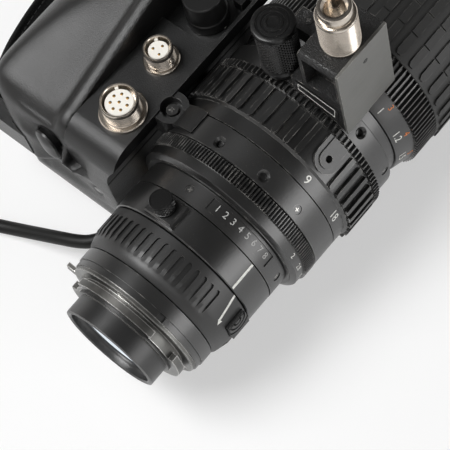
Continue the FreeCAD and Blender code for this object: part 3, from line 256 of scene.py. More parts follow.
black_metal("barrel_black", (0.010, 0.010, 0.0098), 0.33, 0.50, sheen=0.95)
black_metal("ring_black", (0.009, 0.009, 0.0088), 0.31, 0.55, sheen=0.9)
black_metal("number_black", (0.011, 0.0108, 0.0105), 0.35, 0.40, sheen=0.95)
black_metal("knob_black", (0.005, 0.005, 0.005), 0.30, 0.35, sheen=0.4)
black_metal("macro_black", (0.010, 0.010, 0.0098), 0.44, 0.40, sheen=0.7)
black_metal("cell_black", (0.012, 0.012, 0.012), 0.5, 0.0, dust=0.0)
print("black metals", list(finishes))

# %% [markdown]
# ## Mouldings
#
# The case and the palm shell are plastic with a fine spark-eroded texture, which is a bump of
# two noises. Its gloss is broken where hands have polished it.

# %% Mouldings
def moulding(name, colour, roughness, texture, depth, polish=0.0):
    """Textured black plastic. polish lightens and smooths broad patches."""
    finish = Finish(name, colour, roughness)
    broad = finish.noise(28.0, 3.0)
    grain = finish.noise(texture, 3.0, 0.65) + finish.noise(texture * 3.1, 1.0) * 0.4
    worn = broad.above(0.5, 0.72) * polish
    edges = finish.edge_mask(0.5 * MM) * finish.noise(180.0, 3.0).above(0.42, 0.62) * 0.5
    tone = finish.mix(worn, colour, [c * 1.5 for c in colour])
    finish.set("Base Color", finish.mix(edges, tone, (0.16, 0.155, 0.145)))
    finish.set("Roughness", roughness + (broad - 0.5) * 0.14 - worn * 0.15)
    finish.bump(grain, depth)


moulding("case_plastic", (0.009, 0.0092, 0.0092), 0.36, 1700.0, 0.10 * MM, 0.3)
moulding("shell_plastic", (0.010, 0.010, 0.0098), 0.38, 1500.0, 0.11 * MM, 0.5)
moulding("control_black", (0.008, 0.008, 0.008), 0.36, 1200.0, 0.02 * MM)
moulding("grip_rubber", (0.014, 0.014, 0.0135), 0.50, 800.0, 0.04 * MM, 0.4)
moulding("cable_rubber", (0.004, 0.0042, 0.004), 0.50, 420.0, 0.02 * MM)
finishes["cable_rubber"].set("Specular IOR Level", 0.3)
print("mouldings", len(finishes))

# %% [markdown]
# ## Crackle paint, the grey plate and leather
#
# The drive module wears crackle paint: small smooth islands with dark valleys between them. A
# Voronoi pattern's distance to the cell edges gives both the height and the dark lines. Its
# edges are rubbed to bare metal. The side plate is plain grey metal with fine scratches, and the
# strap is leather, whose pebbles are such a pattern too.

# %% Crackle paint, plate and leather
def cells(finish, scale):
    """0 on the lines between a Voronoi pattern's cells, rising towards their middles."""
    jitter = finish.node("ShaderNodeVectorMath", {"operation": "SCALE"},
                         finish.node("ShaderNodeTexNoise", None, finish.place, Scale=scale * 0.6, out=1),
                         None, None, 0.6 / scale)
    bent = finish.node("ShaderNodeVectorMath", {"operation": "ADD"}, finish.place, jitter)
    return finish.node("ShaderNodeTexVoronoi", {"feature": "DISTANCE_TO_EDGE"}, bent, Scale=scale)


crackle = Finish("crackle_black", (0.02, 0.019, 0.018), 0.3, Specular_IOR_Level=0.5)
islands = cells(crackle, 1150.0).above(0.0, 0.2)
chips = crackle.edge_mask(0.5 * MM) * crackle.noise(240.0, 4.0).above(0.44, 0.60)
paint = crackle.mix(islands, (0.003, 0.003, 0.003), (0.013, 0.0128, 0.0125))
crackle.set("Base Color", crackle.mix(chips, paint, (0.33, 0.31, 0.28)))
crackle.set("Roughness", 0.52 - islands * 0.16)
crackle.bump(islands, 0.11 * MM)

plate = Finish("plate_grey", (0.10, 0.10, 0.094), 0.4, metallic=0.35)
brushed = plate.node("ShaderNodeVectorMath", {"operation": "MULTIPLY"}, plate.place, (1.0, 90.0, 1400.0))
scratches = plate.noise(1.0, 3.0, 0.7, brushed)
plate_wear = plate.edge_mask(0.4 * MM) * plate.noise(300.0, 3.0).above(0.4, 0.6)
grey = plate.mix(scratches, (0.115, 0.115, 0.108), (0.165, 0.165, 0.156))
plate.set("Base Color", plate.mix(plate_wear, grey, (0.4, 0.39, 0.36)))
plate.set("Roughness", 0.32 + plate.noise(50.0, 3.0) * 0.22)
plate.bump(scratches, 0.01 * MM)

leather = Finish("strap_leather", (0.02, 0.02, 0.019), 0.5, Specular_IOR_Level=0.22)
pebbles = cells(leather, 900.0).above(0.0, 0.3)
creases = leather.noise(120.0, 5.0, 0.6)
leather.set("Base Color", leather.mix(pebbles, (0.003, 0.003, 0.003), (0.009, 0.0088, 0.0085)))
leather.set("Roughness", 0.62 - pebbles * 0.14 + creases * 0.1)
leather.bump(pebbles * 0.35 + creases, 0.12 * MM)
print("finishes", len(finishes))

# %% [markdown]
# ## Bright metal and brass
#
# Turned metal carries tool marks that are too fine to model. They are only seen as a change of
# gloss, so two noises drive the roughness and a very shallow bump.

# %% Bright metal and brass
def bright_metal(name, colour, roughness):
    """Turned bare metal with tool marks and a little tarnish."""
    finish = Finish(name, colour, roughness, metallic=1.0)
    broad = finish.noise(90.0, 4.0)
    finish.set("Base Color", finish.mix(broad.above(0.45, 0.75), colour, [c * 0.62 for c in colour]))
    finish.set("Roughness", roughness + broad * 0.10)
    finish.bump(finish.noise(1400.0, 2.0), 0.006 * MM)


bright_metal("bright_steel", (0.42, 0.41, 0.39), 0.22)
bright_metal("socket_chrome", (0.62, 0.56, 0.49), 0.20)
bright_metal("gear_brass", (0.62, 0.46, 0.22), 0.30)
bright_metal("motor_metal", (0.26, 0.26, 0.26), 0.36)
bright_metal("pin_gold", (0.26, 0.15, 0.045), 0.3)
print("bright metals ready")

# %% [markdown]
# ## The mount and the rear tube
#
# The bayonet is dark steel, and every change of camera rubs its edges bright. The rear tube is
# black, and worn in the same way at its lip. Both take the edge mask of the black metal.

# %% The mount and the rear tube
mount = Finish("mount_steel", (0.1, 0.1, 0.095), 0.34, metallic=1.0)
rubbed = mount.edge_mask(0.7 * MM) * mount.noise(150.0, 3.0).above(0.15, 0.35)
tone = mount.mix(mount.noise(80.0, 4.0).above(0.4, 0.7), (0.11, 0.11, 0.105), (0.2, 0.195, 0.185))
mount.set("Base Color", mount.mix(rubbed, tone, (0.72, 0.71, 0.69)))
mount.set("Roughness", 0.26 + mount.noise(90.0, 3.0) * 0.2)

TUBE_TONE = (0.009, 0.009, 0.009)
tube = Finish("tube_black", TUBE_TONE, 0.34, Specular_IOR_Level=0.75)
rubbed = tube.edge_mask(0.25 * MM) * tube.noise(120.0, 3.0).above(0.2, 0.4)
tube.set("Base Color", tube.mix(rubbed, TUBE_TONE, (0.3, 0.29, 0.27)))
tube.set("Roughness", 0.30 + tube.noise(60.0, 4.0) * 0.14)
print("mount and tube ready")

# %% [markdown]
# ## Glass, enamel and the pale insulator
#
# Coated glass is clear. The rear glass is dark from straight behind, and its finish paints a pale
# glow in its middle, an emission that stands in for light coming through the lens from white paper
# before it; a Layer Weight node shows this painted glow at a slant only. The sockets' insulator is
# pale plastic. The numbers and lines are enamel that was rubbed into engraving, and is chipped a little.

# %% Glass, enamel and the pale insulator
Finish("clear_glass", (0.92, 0.96, 1.0), 0.02, Transmission_Weight=1.0, IOR=1.5)

# Painted light: the rear glass glows with a pale emission in a disc round the axis, seen at a slant, standing
# in for light through the lens.
PAINTED_GLOW_RADIUS = 16.0
rear_glass = Finish("rear_glass", (0.010, 0.012, 0.014), 0.03, Specular_IOR_Level=0.9)
across = rear_glass.node("ShaderNodeVectorMath", {"operation": "MULTIPLY"}, rear_glass.place, (1, 0, 1))
reach = rear_glass.node("ShaderNodeVectorMath", {"operation": "LENGTH"}, across, out="Value")
painted_glow_disc = 1.0 - reach.above(PAINTED_GLOW_RADIUS * MM, (PAINTED_GLOW_RADIUS + 0.8) * MM)
slant = rear_glass.node("ShaderNodeLayerWeight", None, out="Facing").above(0.35, 0.72)
rear_glass.set("Emission Color", rear_glass.mix(painted_glow_disc * slant, (0.02, 0.022, 0.025), (0.74, 0.80, 0.86)))
rear_glass.set("Emission Strength", 1.0)

insulator = Finish("socket_face", (0.78, 0.74, 0.66), 0.45)
insulator.set("Base Color", insulator.mix(insulator.noise(300.0), (0.92, 0.90, 0.84), (0.86, 0.83, 0.76)))

ENAMELS = {"white_enamel": (0.78, 0.78, 0.74), "grey_enamel": (0.42, 0.42, 0.41),
           "orange_enamel": (0.75, 0.22, 0.05)}
for name, colour in ENAMELS.items():
    enamel = Finish(name, colour, 0.45)
    chipped = enamel.noise(700.0, 4.0).above(0.38, 0.52)
    enamel.set("Base Color", enamel.mix(chipped, [c * 0.8 for c in colour], colour))
print("finishes", len(finishes))

# %% [markdown]
# ## The solids
#
# A CAD node arrives as loose triangles. A Weld joins them, a small Bevel rounds their edges so
# that they catch the light, and an Edge Split keeps the flat faces flat under smooth shading.
# These are modifiers, so the solid itself isn't touched. Weighted normals keep the large faces
# flat beside small fillets.

# %% The solids
# Widths of rounded edges, in millimetres
SOFT_EDGE = {"drive_case": 0.5, "module_housing": 0.35, "rear_tube": 0.15, "bayonet_mount": 0.15,
             "mode_selector": 0.6, "zoom_rocker": 0.5, "module_cover": 0.2, "record_button": 0.8}
# Nodes whose finish is finer than their slot's
OWN_FINISH = {"rear_element": "rear_glass", "rear_tube": "tube_black", "bayonet_mount": "mount_steel",
              "macro_ring": "macro_black"}


def dress(piece, slot_name, edge=0.0):
    """Gives a piece its finish, smooth shading and rounded edges of a width in millimetres."""
    piece.data.materials.clear()
    piece.data.materials.append(finishes[slot_name].material)
    piece.data.polygons.foreach_set("use_smooth", [True] * len(piece.data.polygons))
    weld = piece.modifiers.new("join", "WELD")
    weld.merge_threshold = 0.004 * MM
    if edge:
        bevel = piece.modifiers.new("edges", "BEVEL")
        bevel.width = edge * MM
        bevel.segments = 2
        bevel.limit_method = "ANGLE"
        bevel.angle_limit = math.radians(38)
    split = piece.modifiers.new("creases", "EDGE_SPLIT")
    split.split_angle = math.radians(34)
    normals = piece.modifiers.new("normals", "WEIGHTED_NORMAL")
    normals.keep_sharp = True


for part in frame["record"]["subparts"]:
    name = part["node"]
    dress(nodes[name], OWN_FINISH.get(name, part["material_slot"]), SOFT_EDGE.get(name, 0.0))
cable.data.materials.append(finishes["cable_rubber"].material)

# %% [markdown]
# ## Making pieces
#
# New pieces are drawn in millimetres with bmesh, in whatever place is easiest, and then laid on
# the lens. Most are turned, so a profile is spun. Repeated shapes are made once and stamped
# where they belong.

# %% Making pieces
def mesh_of(bm, name):
    mesh = bpy.data.meshes.new(name)
    bm.to_mesh(mesh)
    bm.free()
    return mesh


def add_piece(bm, name, body, finish_name):
    """Makes a piece of a mesh in millimetres, and lets it ride on a body."""
    bmesh.ops.scale(bm, vec=(MM, MM, MM), verts=bm.verts)
    piece = linked(name, mesh_of(bm, name))
    dress(piece, finish_name)
    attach(piece, body)
    return piece


def stamp(bm, part, place):
    """Adds a copy of the mesh part to bm, at a place."""
    copy = bpy.data.meshes.new("stamp")
    part.to_mesh(copy)
    copy.transform(place)
    bm.from_mesh(copy)
    bpy.data.meshes.remove(copy)


def at(x, y, z):
    return Matrix.Translation((x, y, z))


def rotated(degrees, axis="Z"):
    return Matrix.Rotation(math.radians(degrees), 4, axis)


def placed(part, place, bm=None):
    """Lays the mesh part at its place, in a mesh of its own or among the others in bm."""
    if bm is None:
        bm = bmesh.new()
    stamp(bm, part, place)
    part.free()
    return bm


def lathe(profile, steps=64, closed=False):
    """Spins (radius, height) points round Z. A closed profile makes a ring."""
    bm = bmesh.new()
    verts = [bm.verts.new((radius, 0, height)) for radius, height in profile]
    edges = [bm.edges.new(pair) for pair in zip(verts, verts[1:] + (verts[:1] if closed else []))]
    bmesh.ops.spin(bm, geom=verts + edges, axis=(0, 0, 1), cent=(0, 0, 0), angle=math.tau,
                   steps=steps, use_merge=True)
    bmesh.ops.remove_doubles(bm, verts=bm.verts, dist=0.001)
    bmesh.ops.recalc_face_normals(bm, faces=bm.faces)
    return bm


def around(angle, y, radius):
    """The place at an angle round the barrel where X runs across, Y forwards and Z outwards."""
    return rotated(angle, "Y") @ at(0, y, radius)


print("piece helpers ready")

# %% [markdown]
# ## Cross-headed screws
#
# Every screw head is a disc with a cross pressed into it. A grid is trimmed to a circle by
# planes, its middle cross is pushed down and narrowed, and its rim is drawn down into a wall.

# %% Cross-headed screws
LIP = 0.18


def new_verts(made):
    """The vertices that an extrusion made."""
    return [item for item in made["geom"] if isinstance(item, bmesh.types.BMVert)]


def open_edges(bm):
    return [edge for edge in bm.edges if edge.is_boundary]


def screw_head(radius, height=1.0, cells=9, sides=20):
    """A flat round head with a cross recess, its top at zero."""
    bm = bmesh.new()
    bmesh.ops.create_grid(bm, x_segments=cells, y_segments=cells, size=radius)
    cell = 2 * radius / cells

    def in_cross(face):
        x, y = (abs(c) / cell for c in face.calc_center_median()[:2])
        return min(x, y) < 0.4 and max(x, y) < 2.4

    made = bmesh.ops.extrude_face_region(bm, geom=[face for face in bm.faces if in_cross(face)])
    bmesh.ops.scale(bm, vec=(0.8, 0.8, 1), verts=new_verts(made))
    bmesh.ops.translate(bm, vec=(0, 0, -0.45 * radius), verts=new_verts(made))
    for index in range(sides):
        turn = math.tau * index / sides
        out = Vector((math.cos(turn), math.sin(turn), 0))
        bmesh.ops.bisect_plane(bm, geom=bm.verts[:] + bm.edges[:] + bm.faces[:], plane_co=out * radius,
                               plane_no=out, clear_outer=True)
    made = bmesh.ops.extrude_edge_only(bm, edges=open_edges(bm))
    bmesh.ops.translate(bm, vec=(0, 0, -LIP), verts=new_verts(made))
    bmesh.ops.scale(bm, vec=(1.05, 1.05, 1), verts=new_verts(made))
    made = bmesh.ops.extrude_edge_only(bm, edges=open_edges(bm))
    bmesh.ops.translate(bm, vec=(0, 0, LIP - height), verts=new_verts(made))
    bmesh.ops.contextual_create(bm, geom=open_edges(bm))
    bmesh.ops.recalc_face_normals(bm, faces=bm.faces)
    return bm


BARREL_SCREW, FLANGE_SCREW = 1.95, 1.36
SEAT_DEPTH = 0.35
SCREW_SPOTS = [(angle, 49.9, 35.9) for angle in (-5.5, 88.0, 180.0, 268.0)]
SCREW_SPOTS += [(angle, 71.3, 41.6) for angle in (52.7, 172.0)]
SCREW_SPOTS += [(angle, 113.1, 42.1) for angle in (87.5, 177.0)]
SCREW_PLACES = [around(angle, y, radius - SEAT_DEPTH) @ rotated(25 + 37 * index)
                for index, (angle, y, radius) in enumerate(SCREW_SPOTS)]
barrel_screws = bmesh.new()
head = screw_head(BARREL_SCREW)
for place in SCREW_PLACES:
    stamp(barrel_screws, head, place)
head.free()
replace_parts(add_piece(barrel_screws, "barrel_screws", BODY, "ring_black"), "body_screws")

flange_screws = bmesh.new()
head = screw_head(FLANGE_SCREW, 0.8)
for index, angle in enumerate((0.0, 120.0, 240.0)):
    stamp(flange_screws, head, around(angle, 0.12, 28.9) @ rotated(90, "X") @ rotated(15 + 50 * index))
head.free()
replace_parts(add_piece(flange_screws, "flange_screws", BODY, "bright_steel"), "bayonet_screws")
print("screws", len(SCREW_PLACES) + 3)

# %% [markdown]
# ## Turned and knurled pieces
#
# The clamp knob and the screw that locks the back focus ring are plain turnings with a diamond
# knurl round their waists. The knurl is a fine net of which every second point stands out, and
# each square is split between its two low points, so every high point becomes a small pyramid.

# %% Turned and knurled pieces
def diamond_sleeve(radius, depth, low, high, columns, rows):
    """A sleeve of small pyramids between two heights."""
    bm = lathe([(radius, low + (high - low) * row / rows) for row in range(rows + 1)], columns)
    high_points = set()
    for vert in bm.verts:
        column = round(math.atan2(vert.co.y, vert.co.x) / math.tau * columns)
        row = round((vert.co.z - low) / (high - low) * rows)
        if (column + row) % 2 and 0 < row < rows:
            high_points.add(vert)
    for face in bm.faces[:]:
        low_pair = [vert for vert in face.verts if vert not in high_points]
        if len(face.verts) == 4 and len(low_pair) == 2:
            bmesh.utils.face_split(face, *low_pair)
    for vert in high_points:
        vert.co.xy *= 1 + depth / vert.co.xy.length
    return bm


CLAMP = at(-5.5, 113.0, 0)
CLAMP_LOW, CLAMP_HIGH = 48.9, 72.5
knob = placed(lathe([
    (0, 45.7), (8.5, 45.7), (9.0, 46.2), (9.0, 48.0), (8.2, 48.7), (8.0, CLAMP_LOW), (8.0, CLAMP_HIGH),
    (8.2, 72.7), (9.0, 73.4), (9.0, 75.2), (8.75, 75.7), (8.3, 75.95), (7.2, 76.0), (6.9, 75.6), (6.5, 75.6),
    (6.2, 75.95), (5.0, 76.0), (4.7, 75.6), (4.3, 75.6), (4.0, 75.95), (2.8, 76.0), (2.4, 75.4), (0, 75.3)],
    72), CLAMP)
placed(diamond_sleeve(8.02, 0.62, CLAMP_LOW, CLAMP_HIGH, 52, 24), CLAMP, knob)
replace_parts(add_piece(knob, "knurled_clamp_knob", "clamp_knob", "knob_black"), "clamp_knob")

THUMB = around(-8.0, 37.4, 0)
THUMB_LOW, THUMB_HIGH = 39.5, 44.2
thumb_screw = placed(lathe([
    (0, 30.5), (1.5, 30.5), (1.5, 38.5), (4.4, 38.5), (4.9, 38.9), (4.9, 39.4), (4.6, THUMB_LOW),
    (4.6, THUMB_HIGH), (4.9, 44.3), (4.9, 44.8), (4.7, 45.0), (4.3, 45.0), (4.2, 44.75), (0, 44.75)],
    56), THUMB)
placed(diamond_sleeve(4.5, 0.45, THUMB_LOW, THUMB_HIGH, 36, 6), THUMB, thumb_screw)
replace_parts(add_piece(thumb_screw, "knurled_thumb_screw", "back_focus_screw", "knob_black"),
            "back_focus_screw")
print("knurled pieces 2")

# %% [markdown]
# ## The rear glass and the selector knob
#
# The rear glass sits close behind the tube's mouth, and its finish paints a pale glowing disc in
# it, which stands in for light through the lens. The selector knob has a skirt, a fluted side, a flat
# glossy top and a white pointer. A flute is a column of the turning that is sunk a little.

# %% The rear glass and the selector knob
# The dome wears the rear glass finish, whose pale glow is painted light.
rear_dome = placed(lathe([(0, 6.2), (19.4, 6.2), (19.4, 11.3), (17.9, 11.3), (17.7, 11.0), (12.0, 11.4),
                          (6.0, 11.65), (0, 11.75)]), rotated(90, "X"))
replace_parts(add_piece(rear_dome, "rear_glass_dome", BODY, "rear_glass"), "rear_element")


def flute(bm, steps, depth, low, high):
    """Sinks every second column of a lathed shape between two heights."""
    for vert in bm.verts:
        if low < vert.co.z < high and vert.co.xy.length > 0.1:
            column = round(math.atan2(vert.co.y, vert.co.x) / math.tau * steps)
            if column % 2:
                vert.co.xy *= 1 - depth / vert.co.xy.length
    return bm


def block(bm, size, place, rounding=0.0):
    """Adds a box of a size at a place."""
    bmesh.ops.create_cube(bm, size=1.0, matrix=place @ Matrix.Diagonal((*size, 1.0)))
    if rounding:
        bmesh.ops.bevel(bm, geom=bm.edges[:], offset=rounding, affect="EDGES", segments=2, profile=0.5,
                        material=-1)


SELECTOR_X, SELECTOR_Y = -52.0, 117.0
turned = lathe([(0, 24.6), (3.0, 24.6), (3.0, 30.3), (9.0, 30.3), (9.35, 30.7), (9.35, 35.2), (9.0, 35.8),
                (8.7, 36.2), (8.6, 47.2), (8.4, 47.7), (8.0, 48.0), (0, 48.0)], 72)
selector = placed(flute(turned, 72, 0.3, 36.4, 47.1), at(SELECTOR_X, SELECTOR_Y, 0))
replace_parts(add_piece(selector, "selector_knob", "mode_selector", "control_black"),
            "mode_selector")
pointer = bmesh.new()
block(pointer, (0.9, 4.4, 0.5), at(SELECTOR_X, SELECTOR_Y + 4.4, 47.82), 0.1)
add_piece(pointer, "selector_pointer", "mode_selector", "white_enamel")
print("rear glass and selector ready")

# %% [markdown]
# ## The record button
#
# A soft domed cap stands in the tall thumb recess, square to the sloping rear wall. The two
# halves of a turned dome are drawn apart, so it becomes tall with round ends. It keeps clear of
# the recess's rim, so that it can be pressed in.

# %% The record button
BUTTON_PLACE, BUTTON_OUT = (-77.0, 34.6, 13.5), (-0.0925, -0.9957, 0)
BUTTON_STRETCH = 3.0


def ramp(value, low, high):
    """0 below low, 1 above high, smooth between."""
    part = min(1.0, max(0.0, (value - low) / (high - low)))
    return part * part * (3 - 2 * part)


def along(start, direction):
    """The place where Z runs along a direction from a point."""
    return at(*start) @ Vector(direction).to_track_quat("Z", "Y").to_matrix().to_4x4()


turned = lathe([(0, -4.0), (5.4, -4.0), (5.6, -2.4), (6.2, -1.6), (6.0, -0.7), (5.0, 0.0), (3.4, 0.5),
                (1.6, 0.8), (0, 0.85)], 48)
for vert in turned.verts:
    vert.co.y += math.copysign(BUTTON_STRETCH, vert.co.y) * ramp(abs(vert.co.y), 0.0, 0.5)
button_cap = placed(turned, along(BUTTON_PLACE, BUTTON_OUT))
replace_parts(add_piece(button_cap, "record_button_cap", "record_button", "control_black"),
            "record_button")
print("record button", 2 * BUTTON_STRETCH, "mm taller than wide")

# %% [markdown]
# ## Sockets
#
# Each remote socket is a turned shell with a flange and a coarse thread. Inside it a pale
# plastic face carries gold contacts in a ring, and a key stands between two of them. The drive
# socket on top of the module has a finer thread, up to its smooth bright mouth.

# %% Sockets
CASE_TOP = 34.0
SOCKET_TOP = CASE_TOP + 10.3
SOCKET_FLOOR = SOCKET_TOP - 7.5
KEY_TURN = 51.0
HERE = Matrix.Identity(4)
LARGE_PLACE, LARGE_RIM = (-49.7, 60.8, 0), 8.2
SMALL_PLACE, SMALL_RIM = (-52.6, 88.6, 0), 6.4


def threads(low, high, radius, depth, pitch):
    """Profile points of a row of shallow V grooves between two heights."""
    count = max(1, round((high - low) / pitch))
    step = (high - low) / count
    points = []
    for index in range(count):
        start = low + index * step
        points += [(radius, start + 0.12 * step), (radius - depth, start + 0.5 * step),
                   (radius, start + 0.88 * step)]
    return points


def socket_shell(place, rim, flange, name, node):
    """A remote socket's shell with its flange and thread. The small one has a stud on its side."""
    bm = placed(lathe(
        [(0, 29.0), (rim, 29.0), (rim, CASE_TOP), (flange, CASE_TOP), (flange, CASE_TOP + 1.2),
         (flange - 0.4, CASE_TOP + 1.6), (rim + 0.1, CASE_TOP + 1.6), (rim - 0.1, CASE_TOP + 1.9)]
        + threads(CASE_TOP + 2.0, CASE_TOP + 8.2, rim - 0.04, 0.32, 0.88)
        + [(rim - 0.04, SOCKET_TOP - 0.5), (rim - 0.3, SOCKET_TOP), (rim - 0.85, SOCKET_TOP),
           (rim - 1.1, SOCKET_TOP - 0.35), (rim - 1.1, SOCKET_FLOOR), (0, SOCKET_FLOOR)]),
        at(*place))
    if node == "small_socket":
        stud = lathe([(0, 0), (1.0, 0), (1.0, 1.0), (0.8, 1.3), (0, 1.3)], 24)
        side = Vector(place) + Vector((rim - 0.4, 0, CASE_TOP + 5.4))
        placed(stud, at(*side) @ rotated(90, "Y"), bm)
    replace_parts(add_piece(bm, name, BODY, "socket_chrome"), node)


def socket_contacts(faces, pins, place, rim, ring, count, centre, radius):
    """The pale face with its key, and the gold contacts that stand in it."""
    middle = at(*place)
    top = SOCKET_TOP - 1.8
    placed(lathe([(0, SOCKET_FLOOR + 0.1), (rim - 2.0, SOCKET_FLOOR + 0.1), (rim - 2.0, top - 0.3),
                  (rim - 2.3, top), (0, top)], 56), middle, faces)
    key = bmesh.new()
    block(key, (1.5, 1.1, 6.0), HERE, 0.15)
    placed(key, middle @ rotated(KEY_TURN) @ at(0, rim - 1.6, top - 2.6), faces)
    pin = lathe([(0, -1.0), (radius, -1.0), (radius, 0.04), (radius * 0.7, 0.12), (0, 0.16)], 16)
    spots = [middle @ rotated(KEY_TURN + 360 * (index + 0.5) / count) @ Vector((0, ring, top))
             for index in range(count)]
    for spot in spots + ([middle @ Vector((0, 0, top))] if centre else []):
        stamp(pins, pin, at(*spot))
    pin.free()


socket_shell(LARGE_PLACE, LARGE_RIM, 10.4, "large_socket_shell", "large_socket")
socket_shell(SMALL_PLACE, SMALL_RIM, 7.9, "small_socket_shell", "small_socket")
faces, pins = bmesh.new(), bmesh.new()
socket_contacts(faces, pins, LARGE_PLACE, LARGE_RIM, 3.75, 7, True, 0.68)
socket_contacts(faces, pins, SMALL_PLACE, SMALL_RIM, 2.3, 3, False, 0.62)
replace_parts(add_piece(faces, "socket_faces", BODY, "socket_face"), "socket_inserts")
add_piece(pins, "socket_contacts", BODY, "pin_gold")

drive = placed(lathe(
    [(2.1, 74.2), (6.9, 75.0), (6.9, 78.0), (7.9, 78.0), (8.2, 78.3), (8.2, 79.2)]
    + threads(79.4, 96.6, 8.16, 0.22, 0.72)
    + [(8.2, 96.9), (8.2, 97.7), (7.9, 98.0), (7.0, 98.1), (6.9, 98.3), (6.9, 102.4), (6.6, 102.9),
       (5.9, 103.0), (5.2, 102.9), (4.2, 101.9), (4.2, 91.0), (2.1, 91.0)], 72, closed=True),
    at(22.2, 121.0, 0))
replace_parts(add_piece(drive, "drive_socket", BODY, "socket_chrome"), "flex_socket")
print("sockets 3")

# %% [markdown]
# ## Scales and index lines
#
# The numbers are generic ones for each scale: flange focus settings, focal lengths, distances
# and f-stops. Text and lines are drawn flat, then bent round their ring, so that they hug it.

# %% Scales and index lines
NUMBER_LIFT, LINE_LIFT, LINE_THICK = 0.03, 0.02, 0.06


def wrap(bm, radius, angle):
    """Bends a flat drawing, X across and Z outwards, round the barrel."""
    for vert in bm.verts:
        turn = math.radians(angle) + vert.co.x / radius
        reach = radius + vert.co.z
        vert.co = Vector((reach * math.sin(turn), vert.co.y, reach * math.cos(turn)))


def number(bm, text, size, y, radius, angle, slope):
    """One number, bent round the barrel at an angle. slope is how fast the ring widens forwards."""
    words = bpy.data.curves.new("number", "FONT")
    words.body = text
    words.size = size
    words.extrude = 0.03
    words.align_x = words.align_y = "CENTER"
    words.resolution_u = 3
    holder = bpy.data.objects.new("number", words)
    flat = bpy.data.meshes.new_from_object(holder)
    part = bmesh.new()
    part.from_mesh(flat)
    for vert in part.verts:
        vert.co += Vector((0, y, NUMBER_LIFT + slope * vert.co.y))
    wrap(part, radius, angle)
    placed(part, HERE, bm)
    bpy.data.objects.remove(holder)
    bpy.data.curves.remove(words)
    bpy.data.meshes.remove(flat)


def line(bm, width, start, end, radius, angle, lean=0.0):
    """A straight mark along the axis, or leaning across it by a number of millimetres."""
    part = bmesh.new()
    block(part, (width, end - start, LINE_THICK), HERE)
    long_edges = [e for e in part.edges if abs(e.verts[0].co.y - e.verts[1].co.y) > 1]
    bmesh.ops.subdivide_edges(part, edges=long_edges, cuts=6, use_grid_fill=True)
    for vert in part.verts:
        vert.co.x += lean * vert.co.y / (end - start)
    bmesh.ops.translate(part, vec=(0, (start + end) / 2, LINE_LIFT), verts=part.verts)
    wrap(part, radius, angle)
    placed(part, HERE, bm)


def steps_of(words, first, step):
    """Numbers in equal steps of angle round a ring."""
    return [(word, first + index * step) for index, word in enumerate(words.split())]


# Name, body, finish, size, y, radius, slope and the numbers with their angles
SCALES = (
    ("flange_numbers", BODY, "grey_enamel", 4.3, 50.4, 35.42, 0.0, steps_of("1 2 3 4 5 6 7 8", 17.2, 6.6)),
    ("stop_numbers", "iris_ring", "white_enamel", 3.4, 58.3, 40.62, 0.0,
     steps_of("2 2.8 4 5.6 8 11 16 22", 74.0, 13.3)),
    ("zoom_numbers", "zoom_ring", "white_enamel", 5.6, 82.5, 41.62, 0.0,
     [("9", 45.4), ("18", 77.2), ("36", 109.0), ("72", 141.0), ("150", 168.0)]),
    ("distance_numbers", "focus_ring", "white_enamel", 4.8, 125.2, 41.44, 0.272,
     steps_of("1 1.2 1.5 2 3 5 10", 52.0, 22.6)),
    ("distance_feet", "focus_ring", "orange_enamel", 3.9, 129.2, 42.53, 0.272,
     steps_of("3 4 5 7 10 16 33", 55.0, 22.5)),
)
for name, body, enamel_name, size, y, radius, slope, marks in SCALES:
    bm = bmesh.new()
    for text, angle in marks:
        number(bm, text, size, y, radius, angle, slope)
    add_piece(bm, name, body, enamel_name)
    print(name, len(marks))

MACRO_RADIUS, MACRO_ANGLE = 35.32, 68.2
macro_line = bmesh.new()
line(macro_line, 1.15, 19.0, 30.4, MACRO_RADIUS, MACRO_ANGLE, lean=-2.6)
arrow = bmesh.new()
bmesh.ops.create_circle(arrow, cap_ends=True, segments=3, radius=1.5)
bmesh.ops.solidify(arrow, geom=arrow.faces[:], thickness=LINE_THICK)
bmesh.ops.transform(arrow, verts=arrow.verts, matrix=at(1.9, 18.6, 0.03) @ rotated(75))
wrap(arrow, MACRO_RADIUS, MACRO_ANGLE)
placed(arrow, HERE, macro_line)
add_piece(macro_line, "macro_index", "macro_ring", "white_enamel")

focus_line = bmesh.new()
line(focus_line, 1.15, 31.4, 44.0, 35.82, 60.0)
add_piece(focus_line, "back_focus_index", "back_focus_ring", "white_enamel")

fixed_lines = bmesh.new()
for start, end, radius in ((67.4, 70.4, 41.62), (75.4, 78.6, 41.62), (117.2, 121.0, 39.62)):
    line(fixed_lines, 0.5, start, end, radius, 122.0)
add_piece(fixed_lines, "fixed_indexes", BODY, "white_enamel")
print("scales", len(SCALES) + 3)

# %% [markdown]
# ## The palm shell
#
# The shell is one soft moulding: a dome for the palm, a raised band along the seam with the
# upper case, and a hollow between them. The solid has the right outline but flat facets. A copy
# of it is remeshed into a fine even net, the band and the hollow are pressed into it, and a few
# passes of smoothing take the facets away. The net is kept still near the buttons' wells. Low
# down, the rear wall tucks in under the hand and runs level with the case beside it, but not
# behind the strap's rear bar, which stands in it.

# %% The palm shell
SEAM = -66.0
WELLS = -33.0
INNER_LIMIT, FRONT_LIMIT = -42, 136
RECESS_FRONT, RECESS_TOP, RECESS_OUTER = 46, 30, -92
BAND_DEPTH, BAND_REAR_DEPTH = 2.4, 0.8
WALL_TUCK = 7.6
CASE_REAR = 38.1


